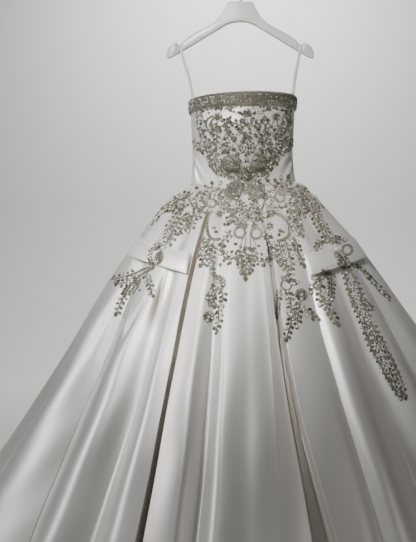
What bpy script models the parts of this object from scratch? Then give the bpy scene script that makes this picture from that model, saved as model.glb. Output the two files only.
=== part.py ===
import math
from collections import namedtuple

import bmesh
import bpy
import numpy as np
from mathutils import Vector
from mathutils.bvhtree import BVHTree

for old in list(bpy.data.objects):
    bpy.data.objects.remove(old, do_unlink=True)

# Metres. The origin is the inner top of the hook, the front faces -Y and Z is up.
SEAM_GAP = 0.0003
GOWN_X = 0.007
CLOTH = 0.002
NECK_Z = -0.344
WAIST_Z = -0.585
SIDE_TILT = 0.006
FRONT_DIP = 0.022

# Colours and finishes: red, green, blue, roughness, metallic.
Look = namedtuple("Look", "red green blue rough metal")
SATIN = Look(0.83, 0.82, 0.79, 0.34, 0.0)
BEADS = Look(0.62, 0.58, 0.49, 0.28, 0.55)
RIBBON = Look(0.86, 0.86, 0.84, 0.45, 0.0)
HANGER = Look(0.88, 0.88, 0.86, 0.38, 0.0)
STEEL = Look(0.60, 0.60, 0.60, 0.25, 1.0)

# Bodice sections from the neckline (share 0) to the waist (share 1).
BodiceRow = namedtuple("BodiceRow", "share half_width front back")
BODICE_ROWS = (
    BodiceRow(0.00, 0.1530, 0.104, 0.082),
    BodiceRow(0.15, 0.1505, 0.107, 0.080),
    BodiceRow(0.32, 0.1490, 0.107, 0.078),
    BodiceRow(0.50, 0.1470, 0.099, 0.075),
    BodiceRow(0.68, 0.1455, 0.086, 0.072),
    BodiceRow(0.85, 0.1480, 0.075, 0.070),
    BodiceRow(1.00, 0.1530, 0.070, 0.070),
)

# Bodice panels by the angles of their seams, in degrees from the centre front.
Panel = namedtuple("Panel", "name left_top left_waist right_top right_waist columns")
BODICE_PANELS = (
    Panel("bodice_back_left", -180, -180, -142, -150, 4),
    Panel("bodice_side_back_left", -142, -150, -90, -90, 6),
    Panel("bodice_side_front_left", -90, -90, -44, -26, 7),
    Panel("bodice_front", -44, -26, 44, 26, 10),
    Panel("bodice_side_front_right", 44, 26, 90, 90, 7),
    Panel("bodice_side_back_right", 90, 90, 142, 150, 6),
    Panel("bodice_back_right", 142, 150, 180, 180, 4),
)
SLANT_FROM = 0.16

# Neckline band: depth below its top edge and how far it stands out of the bodice.
BandRow = namedtuple("BandRow", "down out")
BAND_ROWS = (
    BandRow(-0.0006, 0.0022),
    BandRow(0.0050, 0.0040),
    BandRow(0.0280, 0.0040),
    BandRow(0.0340, 0.0022),
)
Band = namedtuple("Band", "name start end")
BANDS = (
    Band("neckline_band_back_left", -180, -90),
    Band("neckline_band_front", -90, 90),
    Band("neckline_band_back_right", 90, 180),
)

# Skirt sections by their drop below the waist.
SkirtRow = namedtuple("SkirtRow", "drop half_width front back lean")
SKIRT_ROWS = (
    SkirtRow(0.000, 0.153, 0.070, 0.070, 0.000),
    SkirtRow(0.006, 0.170, 0.082, 0.083, 0.001),
    SkirtRow(0.024, 0.192, 0.105, 0.107, -0.002),
    SkirtRow(0.050, 0.219, 0.132, 0.136, -0.002),
    SkirtRow(0.095, 0.257, 0.170, 0.177, 0.000),
    SkirtRow(0.165, 0.313, 0.222, 0.234, 0.007),
    SkirtRow(0.245, 0.369, 0.270, 0.288, 0.010),
    SkirtRow(0.340, 0.430, 0.322, 0.346, 0.015),
    SkirtRow(0.450, 0.498, 0.380, 0.408, 0.021),
    SkirtRow(0.580, 0.582, 0.448, 0.482, 0.027),
    SkirtRow(0.745, 0.697, 0.538, 0.582, 0.034),
    SkirtRow(0.930, 0.829, 0.640, 0.692, 0.037),
    SkirtRow(1.110, 0.953, 0.736, 0.796, 0.039),
)

# Fold lines round the skirt. Angles in degrees from the centre front at three drops,
# pushes in millimetres out of the section, and how sharp the line is.
FOLD_DROPS = (0.10, 0.45, 1.11)
FOLD_START = 0.07
Fold = namedtuple("Fold", "name top mid hem push_top push_mid push_hem sharp")
FOLDS = (
    Fold("back_seam", -180.0, -180.0, -180.0, -3, -14, -30, 0.6),
    Fold("back_left_roll_1", -169.0, -169.0, -169.5, 2, 10, 22, 0.0),
    Fold("back_left_valley_1", -157.0, -157.5, -158.0, -3, -13, -27, 0.5),
    Fold("back_left_roll_2", -148.0, -147.5, -147.0, 2, 10, 22, 0.0),
    Fold("back_left_seam", -139.5, -138.5, -137.5, -6, -24, -44, 0.8),
    Fold("back_left_roll_3", -130.0, -129.5, -129.0, 3, 12, 24, 0.0),
    Fold("back_left_valley_2", -119.0, -119.5, -120.0, -2, -11, -24, 0.4),
    Fold("back_left_roll_4", -108.0, -108.0, -108.0, 2, 10, 20, 0.0),
    Fold("side_left_seam", -98.0, -98.0, -98.0, -4, -18, -36, 0.7),
    Fold("side_left_roll", -87.0, -87.0, -86.0, 2, 7, 16, 0.0),
    Fold("side_left_valley", -76.0, -75.0, -73.0, -2, -9, -22, 0.4),
    Fold("left_outer_roll", -65.0, -63.5, -57.0, 3, 10, 20, 0.0),
    Fold("left_outer_seam", -52.0, -51.0, -41.0, -4, -20, -30, 0.8),
    Fold("left_broad_roll", -40.5, -38.0, -35.5, 4, 14, 24, 0.0),
    Fold("left_soft_valley", -31.5, -30.5, -28.5, -4, -7, -10, 0.3),
    Fold("left_inner_roll", -27.5, -26.0, -23.0, 2, 8, 14, 0.2),
    Fold("deep_pleat_left_lip", -24.3, -22.6, -19.4, 1, 5, 7, 1.0),
    Fold("deep_pleat_left_bottom", -23.6, -22.1, -18.8, -20, -42, -55, 1.0),
    Fold("deep_pleat_right_bottom", -22.0, -21.3, -18.2, -20, -42, -55, 1.0),
    Fold("deep_pleat_right_lip", -21.2, -20.8, -17.6, 2, 6, 8, 1.0),
    Fold("front_left_roll", -18.5, -17.6, -14.2, 4, 10, 15, 0.0),
    Fold("front_left_crease", -12.4, -11.6, -10.4, -1, -12, -22, 0.9),
    Fold("centre_roll", -6.8, -7.4, -7.2, 3, 10, 17, 0.0),
    Fold("centre_shoulder", 1.5, -0.5, -2.5, 2, 4, 5, 0.0),
    Fold("soft_edge", 7.0, 5.2, 1.4, 0, -3, -9, 0.5),
    Fold("right_pleat_left_lip", 10.2, 8.0, 9.4, -1, -4, -9, 1.0),
    Fold("right_pleat_left_bottom", 10.7, 8.5, 10.2, -14, -32, -52, 1.0),
    Fold("right_pleat_right_bottom", 11.6, 9.4, 14.0, -14, -32, -52, 1.0),
    Fold("right_pleat_right_lip", 12.1, 10.0, 15.2, 2, 6, 10, 1.0),
    Fold("right_flat_roll", 19.0, 15.5, 17.4, 3, 7, 11, 0.0),
    Fold("right_thin_crease", 26.5, 21.9, 19.8, -1, -3, -4, 1.0),
    Fold("right_stripe_roll", 30.5, 25.4, 22.6, 4, 12, 18, 0.0),
    Fold("right_soft_valley", 41.0, 36.0, 29.5, -3, -15, -26, 0.3),
    Fold("right_outer_roll", 48.5, 45.0, 40.0, 4, 11, 19, 0.0),
    Fold("right_outer_seam", 57.0, 55.0, 52.0, -3, -16, -30, 0.6),
    Fold("side_right_roll_1", 66.0, 65.0, 63.0, 3, 10, 19, 0.0),
    Fold("side_right_valley", 76.0, 76.0, 75.0, -2, -8, -20, 0.5),
    Fold("side_right_roll_2", 87.0, 87.0, 86.0, 2, 8, 17, 0.0),
    Fold("side_right_seam", 98.0, 98.0, 98.0, -4, -17, -34, 0.7),
    Fold("back_right_roll_1", 108.0, 107.5, 107.0, 2, 10, 20, 0.0),
    Fold("back_right_valley_1", 119.0, 119.5, 120.0, -2, -11, -25, 0.3),
    Fold("back_right_roll_2", 130.0, 130.0, 130.0, 3, 12, 24, 0.0),
    Fold("back_right_seam", 140.5, 139.5, 139.0, -5, -22, -44, 0.8),
    Fold("back_right_roll_3", 150.0, 149.5, 149.0, 2, 10, 22, 0.0),
    Fold("back_right_valley_2", 160.0, 160.5, 161.0, -3, -12, -26, 0.4),
    Fold("back_right_roll_4", 170.0, 170.0, 170.5, 2, 10, 22, 0.0),
)
COLUMN_WIDTH = 4.8

# Skirt gores by the fold lines at their two seams.
Gore = namedtuple("Gore", "name left_seam right_seam")
GORES = (
    Gore("skirt_back_left", "back_seam", "back_left_seam"),
    Gore("skirt_side_back_left", "back_left_seam", "side_left_seam"),
    Gore("skirt_side_left", "side_left_seam", "left_outer_seam"),
    Gore("skirt_side_front_left", "left_outer_seam", "deep_pleat_left_bottom"),
    Gore("skirt_front", "deep_pleat_left_bottom", "right_pleat_left_bottom"),
    Gore("skirt_side_front_right", "right_pleat_left_bottom", "right_outer_seam"),
    Gore("skirt_side_right", "right_outer_seam", "side_right_seam"),
    Gore("skirt_side_back_right", "side_right_seam", "back_right_seam"),
    Gore("skirt_back_right", "back_right_seam", "back_seam"),
)

# Hip bows: the knot's place on the skirt, and how the bow slopes in the tangent plane.
HipBow = namedtuple("HipBow", "side angle drop slope inner inner_skew outer outer_skew")
HIP_BOWS = (
    HipBow("left", -40.5, 0.216, -14.0, 0.093, 0.46, 0.135, 0.10),
    HipBow("right", 43.5, 0.219, 14.0, 0.108, -0.46, 0.125, -0.10),
)
KNOT_HALF = 0.0085
HIP_KNOT_LONG = 0.0125
HIP_KNOT_THICK = 0.0135
LOOP_WALL = 0.0015
LOOP_NEAR_WIDTH = 0.053
LOOP_FAR_WIDTH = 0.066
LOOP_NEAR_HEIGHT = 0.0065
INNER_END_HEIGHT = 0.0080
OUTER_END_HEIGHT = 0.0120

# Waist bow: each lobe's axis from the knot, its length and width, and its thickness.
BOW_X = 0.012
LOOP_WIDTHS = (0.34, 0.52, 0.82, 1.0, 0.92, 0.64, 0.30)
TAIL_WIDTHS = (0.30, 0.44, 0.70, 0.92, 1.00, 0.84, 0.56)
Lobe = namedtuple("Lobe", "name start_x start_z end_x end_z width thick widths")
WAIST_LOBES = (
    Lobe("waist_bow_loop_left", -0.0145, -0.5570, -0.0640, -0.5270, 0.044, 0.0100, LOOP_WIDTHS),
    Lobe("waist_bow_loop_right", 0.0145, -0.5550, 0.0620, -0.5220, 0.044, 0.0100, LOOP_WIDTHS),
    Lobe("waist_bow_tail_left", -0.0130, -0.5850, -0.0430, -0.6400, 0.050, 0.0080, TAIL_WIDTHS),
    Lobe("waist_bow_tail_right", 0.0130, -0.5850, 0.0400, -0.6400, 0.050, 0.0080, TAIL_WIDTHS),
)
FEEL = 0.05
FEEL_STEPS = 16
LOBE_SHARES = (0.0, 0.12, 0.32, 0.56, 0.80, 0.94, 1.0)
LOBE_SWELL = (0.45, 0.62, 0.85, 1.0, 0.92, 0.66, 0.42)
LOBE_RING = (
    (-1.0, 0.0), (-1.0, 0.45), (-0.62, 0.86), (0.0, 1.0),
    (0.62, 0.86), (1.0, 0.45), (1.0, 0.0), (0.0, 0.0),
)
LOBE_BACK = (0, 7, 6)
KNOT_CENTRE_Z = -0.5665
KNOT_WIDTH = 0.0260
KNOT_TALL = 0.0320
KNOT_THICK = 0.0150

# Hanger outline, one side: distance from the middle, upper and lower edge, half depth.
BarRow = namedtuple("BarRow", "x top bottom half_depth")
HANGER_ROWS = (
    BarRow(0.0000, -0.0580, -0.1160, 0.0070),
    BarRow(0.0198, -0.0580, -0.1175, 0.0070),
    BarRow(0.0347, -0.0580, -0.1222, 0.0070),
    BarRow(0.0401, -0.0660, -0.1245, 0.0070),
    BarRow(0.0455, -0.0790, -0.1275, 0.0070),
    BarRow(0.0554, -0.0960, -0.1340, 0.0070),
    BarRow(0.0673, -0.1100, -0.1405, 0.0070),
    BarRow(0.0792, -0.1205, -0.1480, 0.0070),
    BarRow(0.0976, -0.1320, -0.1586, 0.0070),
    BarRow(0.1206, -0.1438, -0.1732, 0.0068),
    BarRow(0.1406, -0.1537, -0.1855, 0.0066),
    BarRow(0.1604, -0.1690, -0.1975, 0.0064),
    BarRow(0.1677, -0.1755, -0.2017, 0.0062),
    BarRow(0.1697, -0.1840, -0.2030, 0.0062),
    BarRow(0.1800, -0.1840, -0.2086, 0.0062),
    BarRow(0.1820, -0.1765, -0.2097, 0.0062),
    BarRow(0.1950, -0.1798, -0.2170, 0.0060),
    BarRow(0.2049, -0.1875, -0.2215, 0.0058),
    BarRow(0.2109, -0.1980, -0.2220, 0.0054),
    BarRow(0.2136, -0.2070, -0.2160, 0.0046),
)
BAR_CORNER = 0.0022

# Hook.
WIRE = 0.0019
HOOK_INNER = 0.020
COLLAR_RADIUS = 0.0052
COLLAR_TALL = 0.0090
COLLAR_ROWS = ((0.0, 0.85), (0.12, 1.0), (0.80, 1.0), (1.0, 0.72))
WIRE_SIDES = 10
HOOK_STEM = ((0.0, -0.0485), (0.0, -0.0445), (-0.0030, -0.0415), (-0.0100, -0.0375))
BEND_START = 222.0
BEND_STEP = 17.0
BEND_STEPS = 15
TIP_SHARE = 0.7

# Ribbon loops from the hanger's notches to the side seams.
RIBBON_WIDE = 0.0090
RIBBON_THICK = 0.0010
NOTCH_X = 0.1747
NOTCH_Z = -0.1840
RIBBON_END_Z = -0.384
RIBBON_NECK_SHARE = 0.79
RIBBON_NECK_X = 0.1440
RIBBON_END_X = 0.1428
RIBBON_APART = 0.0009
RIBBON_TWIST = 14
NOTCH_HALF_DEPTH = 0.0062
RIBBON_TOP = 0.004
RIBBON_CLEAR = 0.14
RIBBON_SHARES = (0.0, 0.14, 0.24, 0.36, 0.50, 0.66, RIBBON_NECK_SHARE, 1.0)
RIBBON_OVER = ((-0.0069, -0.0001), (-0.0042, 0.0021), (0.0042, 0.0021), (0.0069, -0.0001))

# Zip.
ZIP_HALF = 0.009
ZIP_THICK = 0.001
ZIP_SKIRT_ROWS = 5
ZIP_BELOW_NECK = 0.003
PULL_BELOW_NECK = 0.038
PullRow = namedtuple("PullRow", "down half thick")
PULL_ROWS = (
    PullRow(0.000, 0.0012, 0.0012),
    PullRow(0.002, 0.0018, 0.0014),
    PullRow(0.011, 0.0024, 0.0014),
    PullRow(0.015, 0.0018, 0.0012),
)


def flow(at, knots, values):
    """A table's value at a place, on a smooth line that never overshoots."""
    if at <= knots[0]:
        return values[0]
    if at >= knots[-1]:
        return values[-1]
    last = len(knots) - 1
    steps = [(values[k + 1] - values[k]) / (knots[k + 1] - knots[k]) for k in range(last)]

    def slope(k):
        if k in (0, last):
            return steps[0] if k == 0 else steps[-1]
        if steps[k - 1] * steps[k] <= 0:
            return 0.0
        return 2 * steps[k - 1] * steps[k] / (steps[k - 1] + steps[k])

    i = max(k for k in range(last) if knots[k] <= at)
    span = knots[i + 1] - knots[i]
    t = (at - knots[i]) / span
    ends = (2 * t**3 - 3 * t**2 + 1) * values[i] + (3 * t**2 - 2 * t**3) * values[i + 1]
    return ends + span * ((t**3 - 2 * t**2 + t) * slope(i) + (t**3 - t**2) * slope(i + 1))


def rise(at):
    """A smooth step from 0 to 1."""
    at = min(1.0, max(0.0, at))
    return at * at * (3 - 2 * at)


def column_of(rows, field):
    return [getattr(row, field) for row in rows]


def waist_z(angle):
    """Height of the waist seam, angle in radians from the centre front."""
    return WAIST_Z + SIDE_TILT * math.sin(angle) - FRONT_DIP * max(0.0, math.cos(angle)) ** 3


def neck_z(angle):
    return NECK_Z + SIDE_TILT * math.sin(angle)


def section(angle, half_width, front, back):
    """A point and outward direction on an oval section with unlike front and back halves."""
    depth = front if math.cos(angle) > 0 else back
    x, y = GOWN_X + half_width * math.sin(angle), -depth * math.cos(angle)
    out = Vector((math.sin(angle) / half_width, -math.cos(angle) / depth, 0)).normalized()
    return x, y, out


def bodice_point(angle, share, out=0.0):
    sizes = [flow(share, column_of(BODICE_ROWS, "share"), column_of(BODICE_ROWS, field))
             for field in ("half_width", "front", "back")]
    x, y, normal = section(angle, *sizes)
    z = neck_z(angle) + (waist_z(angle) - neck_z(angle)) * share
    return Vector((x, y, z)) + normal * out


def skirt_point(angle, drop, push=0.0):
    drops = column_of(SKIRT_ROWS, "drop")
    half_width, front, back, lean = [
        flow(drop, drops, column_of(SKIRT_ROWS, field))
        for field in ("half_width", "front", "back", "lean")
    ]
    x, y, normal = section(angle, half_width, front, back)
    seam = waist_z(angle) - WAIST_Z
    z = WAIST_Z - SEAM_GAP - drop + seam * (1 - rise(drop / 0.25))
    return Vector((x + lean, y, z)) + normal * push


def fold_line(fold, drop):
    """Angle in degrees and push in metres of a fold line at a drop."""
    angle = flow(drop, FOLD_DROPS, (fold.top, fold.mid, fold.hem))
    if drop < FOLD_DROPS[0]:
        start = rise(drop / FOLD_START)
        return angle, start * fold.push_top / 1000
    return angle, flow(drop, FOLD_DROPS, (fold.push_top, fold.push_mid, fold.push_hem)) / 1000


def fold_between(first, second, t, drop):
    """Angle in radians and push at a share t of the way from one fold line to the next."""
    angle_a, push_a = fold_line(first, drop)
    angle_b, push_b = fold_line(second, drop)
    if angle_b < angle_a:
        angle_b += 360
    step = push_b - push_a
    ends = (2 * t**3 - 3 * t**2 + 1) * push_a + (3 * t**2 - 2 * t**3) * push_b
    lead = (t**3 - 2 * t**2 + t) * step * 1.6 * first.sharp
    land = (t**3 - t**2) * step * 1.6 * second.sharp
    return math.radians(angle_a + (angle_b - angle_a) * t), ends + lead + land


def skirt_columns():
    """(first fold, second fold, share) of every column round the skirt, and each fold's column."""
    columns, place = [], {}
    for i, fold in enumerate(FOLDS):
        following = FOLDS[(i + 1) % len(FOLDS)]
        width = (following.mid - fold.mid) % 360
        parts = max(1, round(width / COLUMN_WIDTH))
        place[fold.name] = len(columns)
        columns += [(fold, following, k / parts) for k in range(parts)]
    return columns, place


def offset_grid(grid, distance, wrap):
    """The grid moved inwards so that each face next to a point moves by the distance."""
    rows, columns = grid.shape[:2]
    inner = grid.copy()
    for r in range(rows):
        for c in range(columns):
            normals = []
            for dr, dc in ((1, 1), (1, -1), (-1, -1), (-1, 1)):
                row, column = r + dr, c + dc
                if not 0 <= row < rows:
                    continue
                if not wrap and not 0 <= column < columns:
                    continue
                across = grid[r, column % columns] - grid[r, c]
                along = grid[row, c] - grid[r, c]
                normal = np.cross(across, along) * dr * dc
                normals.append(normal / np.linalg.norm(normal))
            move = np.linalg.lstsq(np.array(normals), np.full(len(normals), distance), rcond=0.25)[0]
            longest = 1.8 * distance
            size = np.linalg.norm(move)
            inner[r, c] = grid[r, c] + move * min(1.0, longest / size)
    return inner


def look(name, finish):
    """A plain material of its own for one piece."""
    material = bpy.data.materials.new(name)
    material.use_nodes = True
    shader = material.node_tree.nodes["Principled BSDF"]
    shader.inputs["Base Color"].default_value = (finish.red, finish.green, finish.blue, 1)
    shader.inputs["Roughness"].default_value = finish.rough
    shader.inputs["Metallic"].default_value = finish.metal
    return material


def add_piece(name, bm, finish):
    bmesh.ops.recalc_face_normals(bm, faces=bm.faces)
    mesh = bpy.data.meshes.new(name)
    bm.to_mesh(mesh)
    bm.free()
    mesh.materials.append(look(name, finish))
    piece = bpy.data.objects.new(name, mesh)
    bpy.context.scene.collection.objects.link(piece)
    return piece


def wall(name, outer, inner, finish, wrap=False):
    """A closed piece between two grids of points with the same rows and columns."""
    bm = bmesh.new()
    rows, columns = len(outer), len(outer[0])
    sides = [[[bm.verts.new(point) for point in row] for row in grid] for grid in (outer, inner)]
    across = columns if wrap else columns - 1
    for r in range(rows - 1):
        for c in range(across):
            n = (c + 1) % columns
            for side in sides:
                bm.faces.new((side[r][c], side[r][n], side[r + 1][n], side[r + 1][c]))
    for r in (0, rows - 1):
        for c in range(across):
            n = (c + 1) % columns
            bm.faces.new((sides[0][r][c], sides[0][r][n], sides[1][r][n], sides[1][r][c]))
    if not wrap:
        for c in (0, columns - 1):
            for r in range(rows - 1):
                edge = (sides[0][r][c], sides[0][r + 1][c], sides[1][r + 1][c], sides[1][r][c])
                bm.faces.new(edge)
    return add_piece(name, bm, finish)


def tube(name, rings, finish):
    """A closed piece through rings of points, with a flat end on the first and last ring."""
    bm = bmesh.new()
    loops = [[bm.verts.new(point) for point in ring] for ring in rings]
    count = len(loops[0])
    for here, there in zip(loops, loops[1:]):
        for k in range(count):
            n = (k + 1) % count
            bm.faces.new((here[k], here[n], there[n], there[k]))
    bm.faces.new(loops[0])
    bm.faces.new(loops[-1])
    return add_piece(name, bm, finish)


def tangent_shift(grid, column, wrap, toward):
    """How far an edge column moves into its own panel, row by row."""
    columns = grid.shape[1]
    after = (column + 1) % columns if wrap else min(column + 1, columns - 1)
    before = (column - 1) % columns if wrap else max(column - 1, 0)
    along = grid[:, after] - grid[:, before]
    along /= np.linalg.norm(along, axis=1)[:, None]
    return along * toward * SEAM_GAP / 2


def cut_panel(outer, inner, first, last, wrap):
    """The columns from first to last of a wall, trimmed at both seams."""
    columns = outer.shape[1]
    picked = [c % columns for c in range(first, last + 1)]
    out, ins = outer[:, picked].copy(), inner[:, picked].copy()
    for place, column, toward in ((0, first, 1), (-1, last, -1)):
        shift = tangent_shift(outer, column % columns, wrap, toward)
        out[:, place] += shift
        ins[:, place] += shift
    return out, ins


# Bodice: one grid all round, cut into its panels.
bodice_angles = []
panel_starts = []
for panel in BODICE_PANELS:
    panel_starts.append(len(bodice_angles))
    for k in range(panel.columns):
        part = k / panel.columns
        bodice_angles.append((
            panel.left_top + (panel.right_top - panel.left_top) * part,
            panel.left_waist + (panel.right_waist - panel.left_waist) * part,
        ))


def bodice_angle(pair, share):
    top, waist = pair
    blend = rise(max(0.0, share - SLANT_FROM) / (1 - SLANT_FROM))
    return math.radians(top + (waist - top) * blend)


shares = column_of(BODICE_ROWS, "share")
bodice_outer = np.array([
    [bodice_point(bodice_angle(pair, share), share) for pair in bodice_angles] for share in shares
])
bodice_inner = offset_grid(bodice_outer, CLOTH, wrap=True)
bodice_inner[:, :, 2] = bodice_outer[:, :, 2]
for i, panel in enumerate(BODICE_PANELS):
    first = panel_starts[i]
    wall(panel.name, *cut_panel(bodice_outer, bodice_inner, first, first + panel.columns, True), SATIN)

# Neckline band on the bodice's own columns.
band_angles = [math.radians(pair[0]) for pair in bodice_angles] + [math.pi]
bodice_tall = NECK_Z - WAIST_Z


def band_grid(angles, rows, extra):
    """Rows of the band at a distance from the bodice's own straight-sided columns."""
    grid = []
    for down, out in rows:
        share = down / bodice_tall
        line = []
        for angle in angles:
            top, foot = bodice_point(angle, 0.0), bodice_point(angle, shares[1])
            *_, normal = section(angle, BODICE_ROWS[0].half_width, BODICE_ROWS[0].front, BODICE_ROWS[0].back)
            line.append(top + (foot - top) * (share / shares[1]) + normal * (out + extra))
        grid.append(line)
    return np.array(grid)


for band in BANDS:
    here = [a for a in band_angles if band.start - 0.01 <= math.degrees(a) <= band.end + 0.01]
    if band.end == 180:
        here = [a for a in here if a > 0]
    outer = band_grid(here, BAND_ROWS, SEAM_GAP)
    inner = band_grid(here, [(row.down, 0.0) for row in BAND_ROWS], SEAM_GAP * 1.2)
    for grid in (outer, inner):
        for place, beside, toward in ((0, 1, 1), (-1, -2, 1)):
            along = grid[:, beside] - grid[:, place]
            along /= np.linalg.norm(along, axis=1)[:, None]
            grid[:, place] += along * toward * SEAM_GAP / 2
    wall(band.name, outer, inner, BEADS)

# Skirt: one grid all round, cut into its gores at the fold lines.
columns, fold_column = skirt_columns()
skirt_outer = []
for row in SKIRT_ROWS:
    line = []
    for first_fold, second_fold, t in columns:
        angle, push = fold_between(first_fold, second_fold, t, row.drop)
        line.append(skirt_point(angle, row.drop, push))
    skirt_outer.append(line)
skirt_outer = np.array(skirt_outer)
skirt_inner = offset_grid(skirt_outer, CLOTH, wrap=True)
hem_z = skirt_outer[-1, :, 2]
skirt_inner[-1, :, 2] = hem_z
for gore in GORES:
    first, last = fold_column[gore.left_seam], fold_column[gore.right_seam]
    if last <= first:
        last += len(columns)
    wall(gore.name, *cut_panel(skirt_outer, skirt_inner, first, last, True), SATIN)


def grid_faces(grid, start):
    """Points and triangles of a grid that goes all round, each face split both ways."""
    rows, count = grid.shape[:2]
    faces = []
    for r in range(rows - 1):
        for c in range(count):
            n = (c + 1) % count
            a, b = start + r * count + c, start + r * count + n
            faces += [(a, b, b + count), (a, b + count, a + count)]
            faces += [(a, b, a + count), (b, b + count, a + count)]
    return [Vector(point) for point in grid.reshape(-1, 3)], faces


bodice_points, bodice_faces = grid_faces(bodice_outer, 0)
skirt_points, skirt_faces = grid_faces(skirt_outer, len(bodice_points))
gown = BVHTree.FromPolygons(bodice_points + skirt_points, bodice_faces + skirt_faces)


def on_both_splits(a, b, c, d, u, v):
    """A place on a four-sided face, split into triangles one way and the other."""
    if u + v <= 1:
        first = a + (b - a) * u + (c - a) * v
    else:
        first = d + (c - d) * (1 - u) + (b - d) * (1 - v)
    second = a + (b - a) * u + (d - b) * v if v <= u else a + (c - a) * v + (d - c) * u
    return first, second


def clearance(back, toward):
    """The least way that the back of a piece, a grid of points, can move before it meets the gown."""
    least = 1.0
    steps = [step / FEEL_STEPS for step in range(FEEL_STEPS + 1)]
    for row, following in zip(back, back[1:]):
        for k in range(len(row) - 1):
            corners = row[k], row[k + 1], following[k], following[k + 1]
            for u in steps:
                for v in steps:
                    for spot in on_both_splits(*corners, u, v):
                        reach = gown.ray_cast(spot - toward * FEEL, toward)[3]
                        least = min(least, reach - FEEL)
    return least


def skirt_place(point):
    """Angle and drop of the section point that lies level with a point near the skirt."""
    drop = WAIST_Z - SEAM_GAP - point.z
    drops = column_of(SKIRT_ROWS, "drop")
    half_width, front, back, lean = [
        flow(drop, drops, column_of(SKIRT_ROWS, field))
        for field in ("half_width", "front", "back", "lean")
    ]
    depth = front if point.y < 0 else back
    return math.atan2((point.x - GOWN_X - lean) / half_width, -point.y / depth), drop


def skirt_frame(angle, drop):
    """A section point with its level tangent, its downhill tangent and its normal."""
    here = skirt_point(angle, drop)
    level = (skirt_point(angle + 0.01, drop) - skirt_point(angle - 0.01, drop)).normalized()
    downhill = (skirt_point(angle, drop + 0.01) - skirt_point(angle, drop - 0.01)).normalized()
    return here, level, downhill, downhill.cross(level).normalized()


def above_skirt(point, height):
    angle, drop = skirt_place(point)
    here, _, _, normal = skirt_frame(angle, drop)
    return here + normal * height


# Hip bows: two flattened loops with open edges, and a beaded knot between them.
LOOP_PATH = (
    (0.00, 0.0), (0.28, 0.0), (0.62, 0.0), (0.90, 0.0),
    (1.00, 0.5),
    (0.90, 1.0), (0.62, 1.0), (0.28, 1.0), (0.00, 1.0),
)


def hip_loop(name, bow, direction, length, skew, end_height):
    centre, level, downhill, _ = skirt_frame(math.radians(bow.angle), bow.drop)
    slope = math.radians(bow.slope)
    along = (level * math.cos(slope) - downhill * math.sin(slope)) * direction
    across = downhill * math.cos(slope) + level * math.sin(slope)
    near = KNOT_HALF + SEAM_GAP

    def spot(share, side):
        width = LOOP_NEAR_WIDTH + (LOOP_FAR_WIDTH - LOOP_NEAR_WIDTH) * share
        squared = across + level * skew * share
        return centre + along * (near + length * share) + squared * side * width / 2

    shares = [step / 8 for step in range(9)]
    back = [[above_skirt(spot(share, side), 0.0) for side in (-1.0, 0.0, 1.0)] for share in shares]
    _, _, _, facing = skirt_frame(math.radians(bow.angle), bow.drop)
    rest = SEAM_GAP - clearance(back, -facing)
    rings = [[], []]
    for layer, inset in enumerate((0.0, LOOP_WALL)):
        for share, level_share in LOOP_PATH:
            height = LOOP_NEAR_HEIGHT + (end_height - LOOP_NEAR_HEIGHT) * rise(share)
            trimmed = min(max(share, inset / length), 1 - inset / length)
            lift = inset + (height - 2 * inset) * level_share
            rings[layer].append([
                above_skirt(spot(trimmed, side), rest + lift) for side in (-1.0, 0.0, 1.0)
            ])
    outer, inner = [list(zip(*ring)) for ring in rings]
    wall(name, outer, inner, SATIN, wrap=True)


KNOT_ROWS = (
    (-1.0, 0.55, 0.5), (-0.72, 0.86, 0.85), (0.0, 1.0, 1.0), (0.72, 0.86, 0.85), (1.0, 0.55, 0.5)
)
KNOT_RING = (
    (-1.0, 0.0), (-1.0, 0.45), (-0.6, 0.85), (0.0, 1.0), (0.6, 0.85), (1.0, 0.45), (1.0, 0.0)
)


def hip_knot(name, bow):
    centre, level, downhill, facing = skirt_frame(math.radians(bow.angle), bow.drop)
    slope = math.radians(bow.slope)
    along = level * math.cos(slope) - downhill * math.sin(slope)
    across = downhill * math.cos(slope) + level * math.sin(slope)

    def spot(share, side, width):
        return centre + across * share * HIP_KNOT_LONG + along * side * KNOT_HALF * width

    back = [[above_skirt(spot(share, side, width), 0.0) for side in (-1.0, 1.0)]
            for share, width, _ in KNOT_ROWS]
    rest = SEAM_GAP - clearance(back, -facing)
    rings = [[above_skirt(spot(share, side, width), rest + height * tall * HIP_KNOT_THICK)
              for side, height in KNOT_RING] for share, width, tall in KNOT_ROWS]
    tube(name, rings, BEADS)


for bow in HIP_BOWS:
    inward = 1 if bow.side == "left" else -1
    hip_loop(f"hip_bow_{bow.side}_inner", bow, inward, bow.inner, bow.inner_skew, INNER_END_HEIGHT)
    hip_loop(f"hip_bow_{bow.side}_outer", bow, -inward, bow.outer, bow.outer_skew, OUTER_END_HEIGHT)
    hip_knot(f"hip_bow_{bow.side}_knot", bow)


# Waist bow: domed lobes that follow the bodice, with the tails bridging to the skirt.
def front_surface(x, z):
    """Depth of the gown's front at a place across it and up it."""
    return gown.ray_cast(Vector((x, -1.0, z)), Vector((0, 1, 0)))[0].y


def seated_tube(name, rings, back):
    """A closed piece moved along Y until the back of its rings nearly rests on the gown."""
    under = [[ring[k] for k in back] for ring in rings]
    move = Vector((0, clearance(under, Vector((0, 1, 0))) - SEAM_GAP * 1.2, 0))
    tube(name, [[point + move for point in ring] for ring in rings], BEADS)


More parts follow.
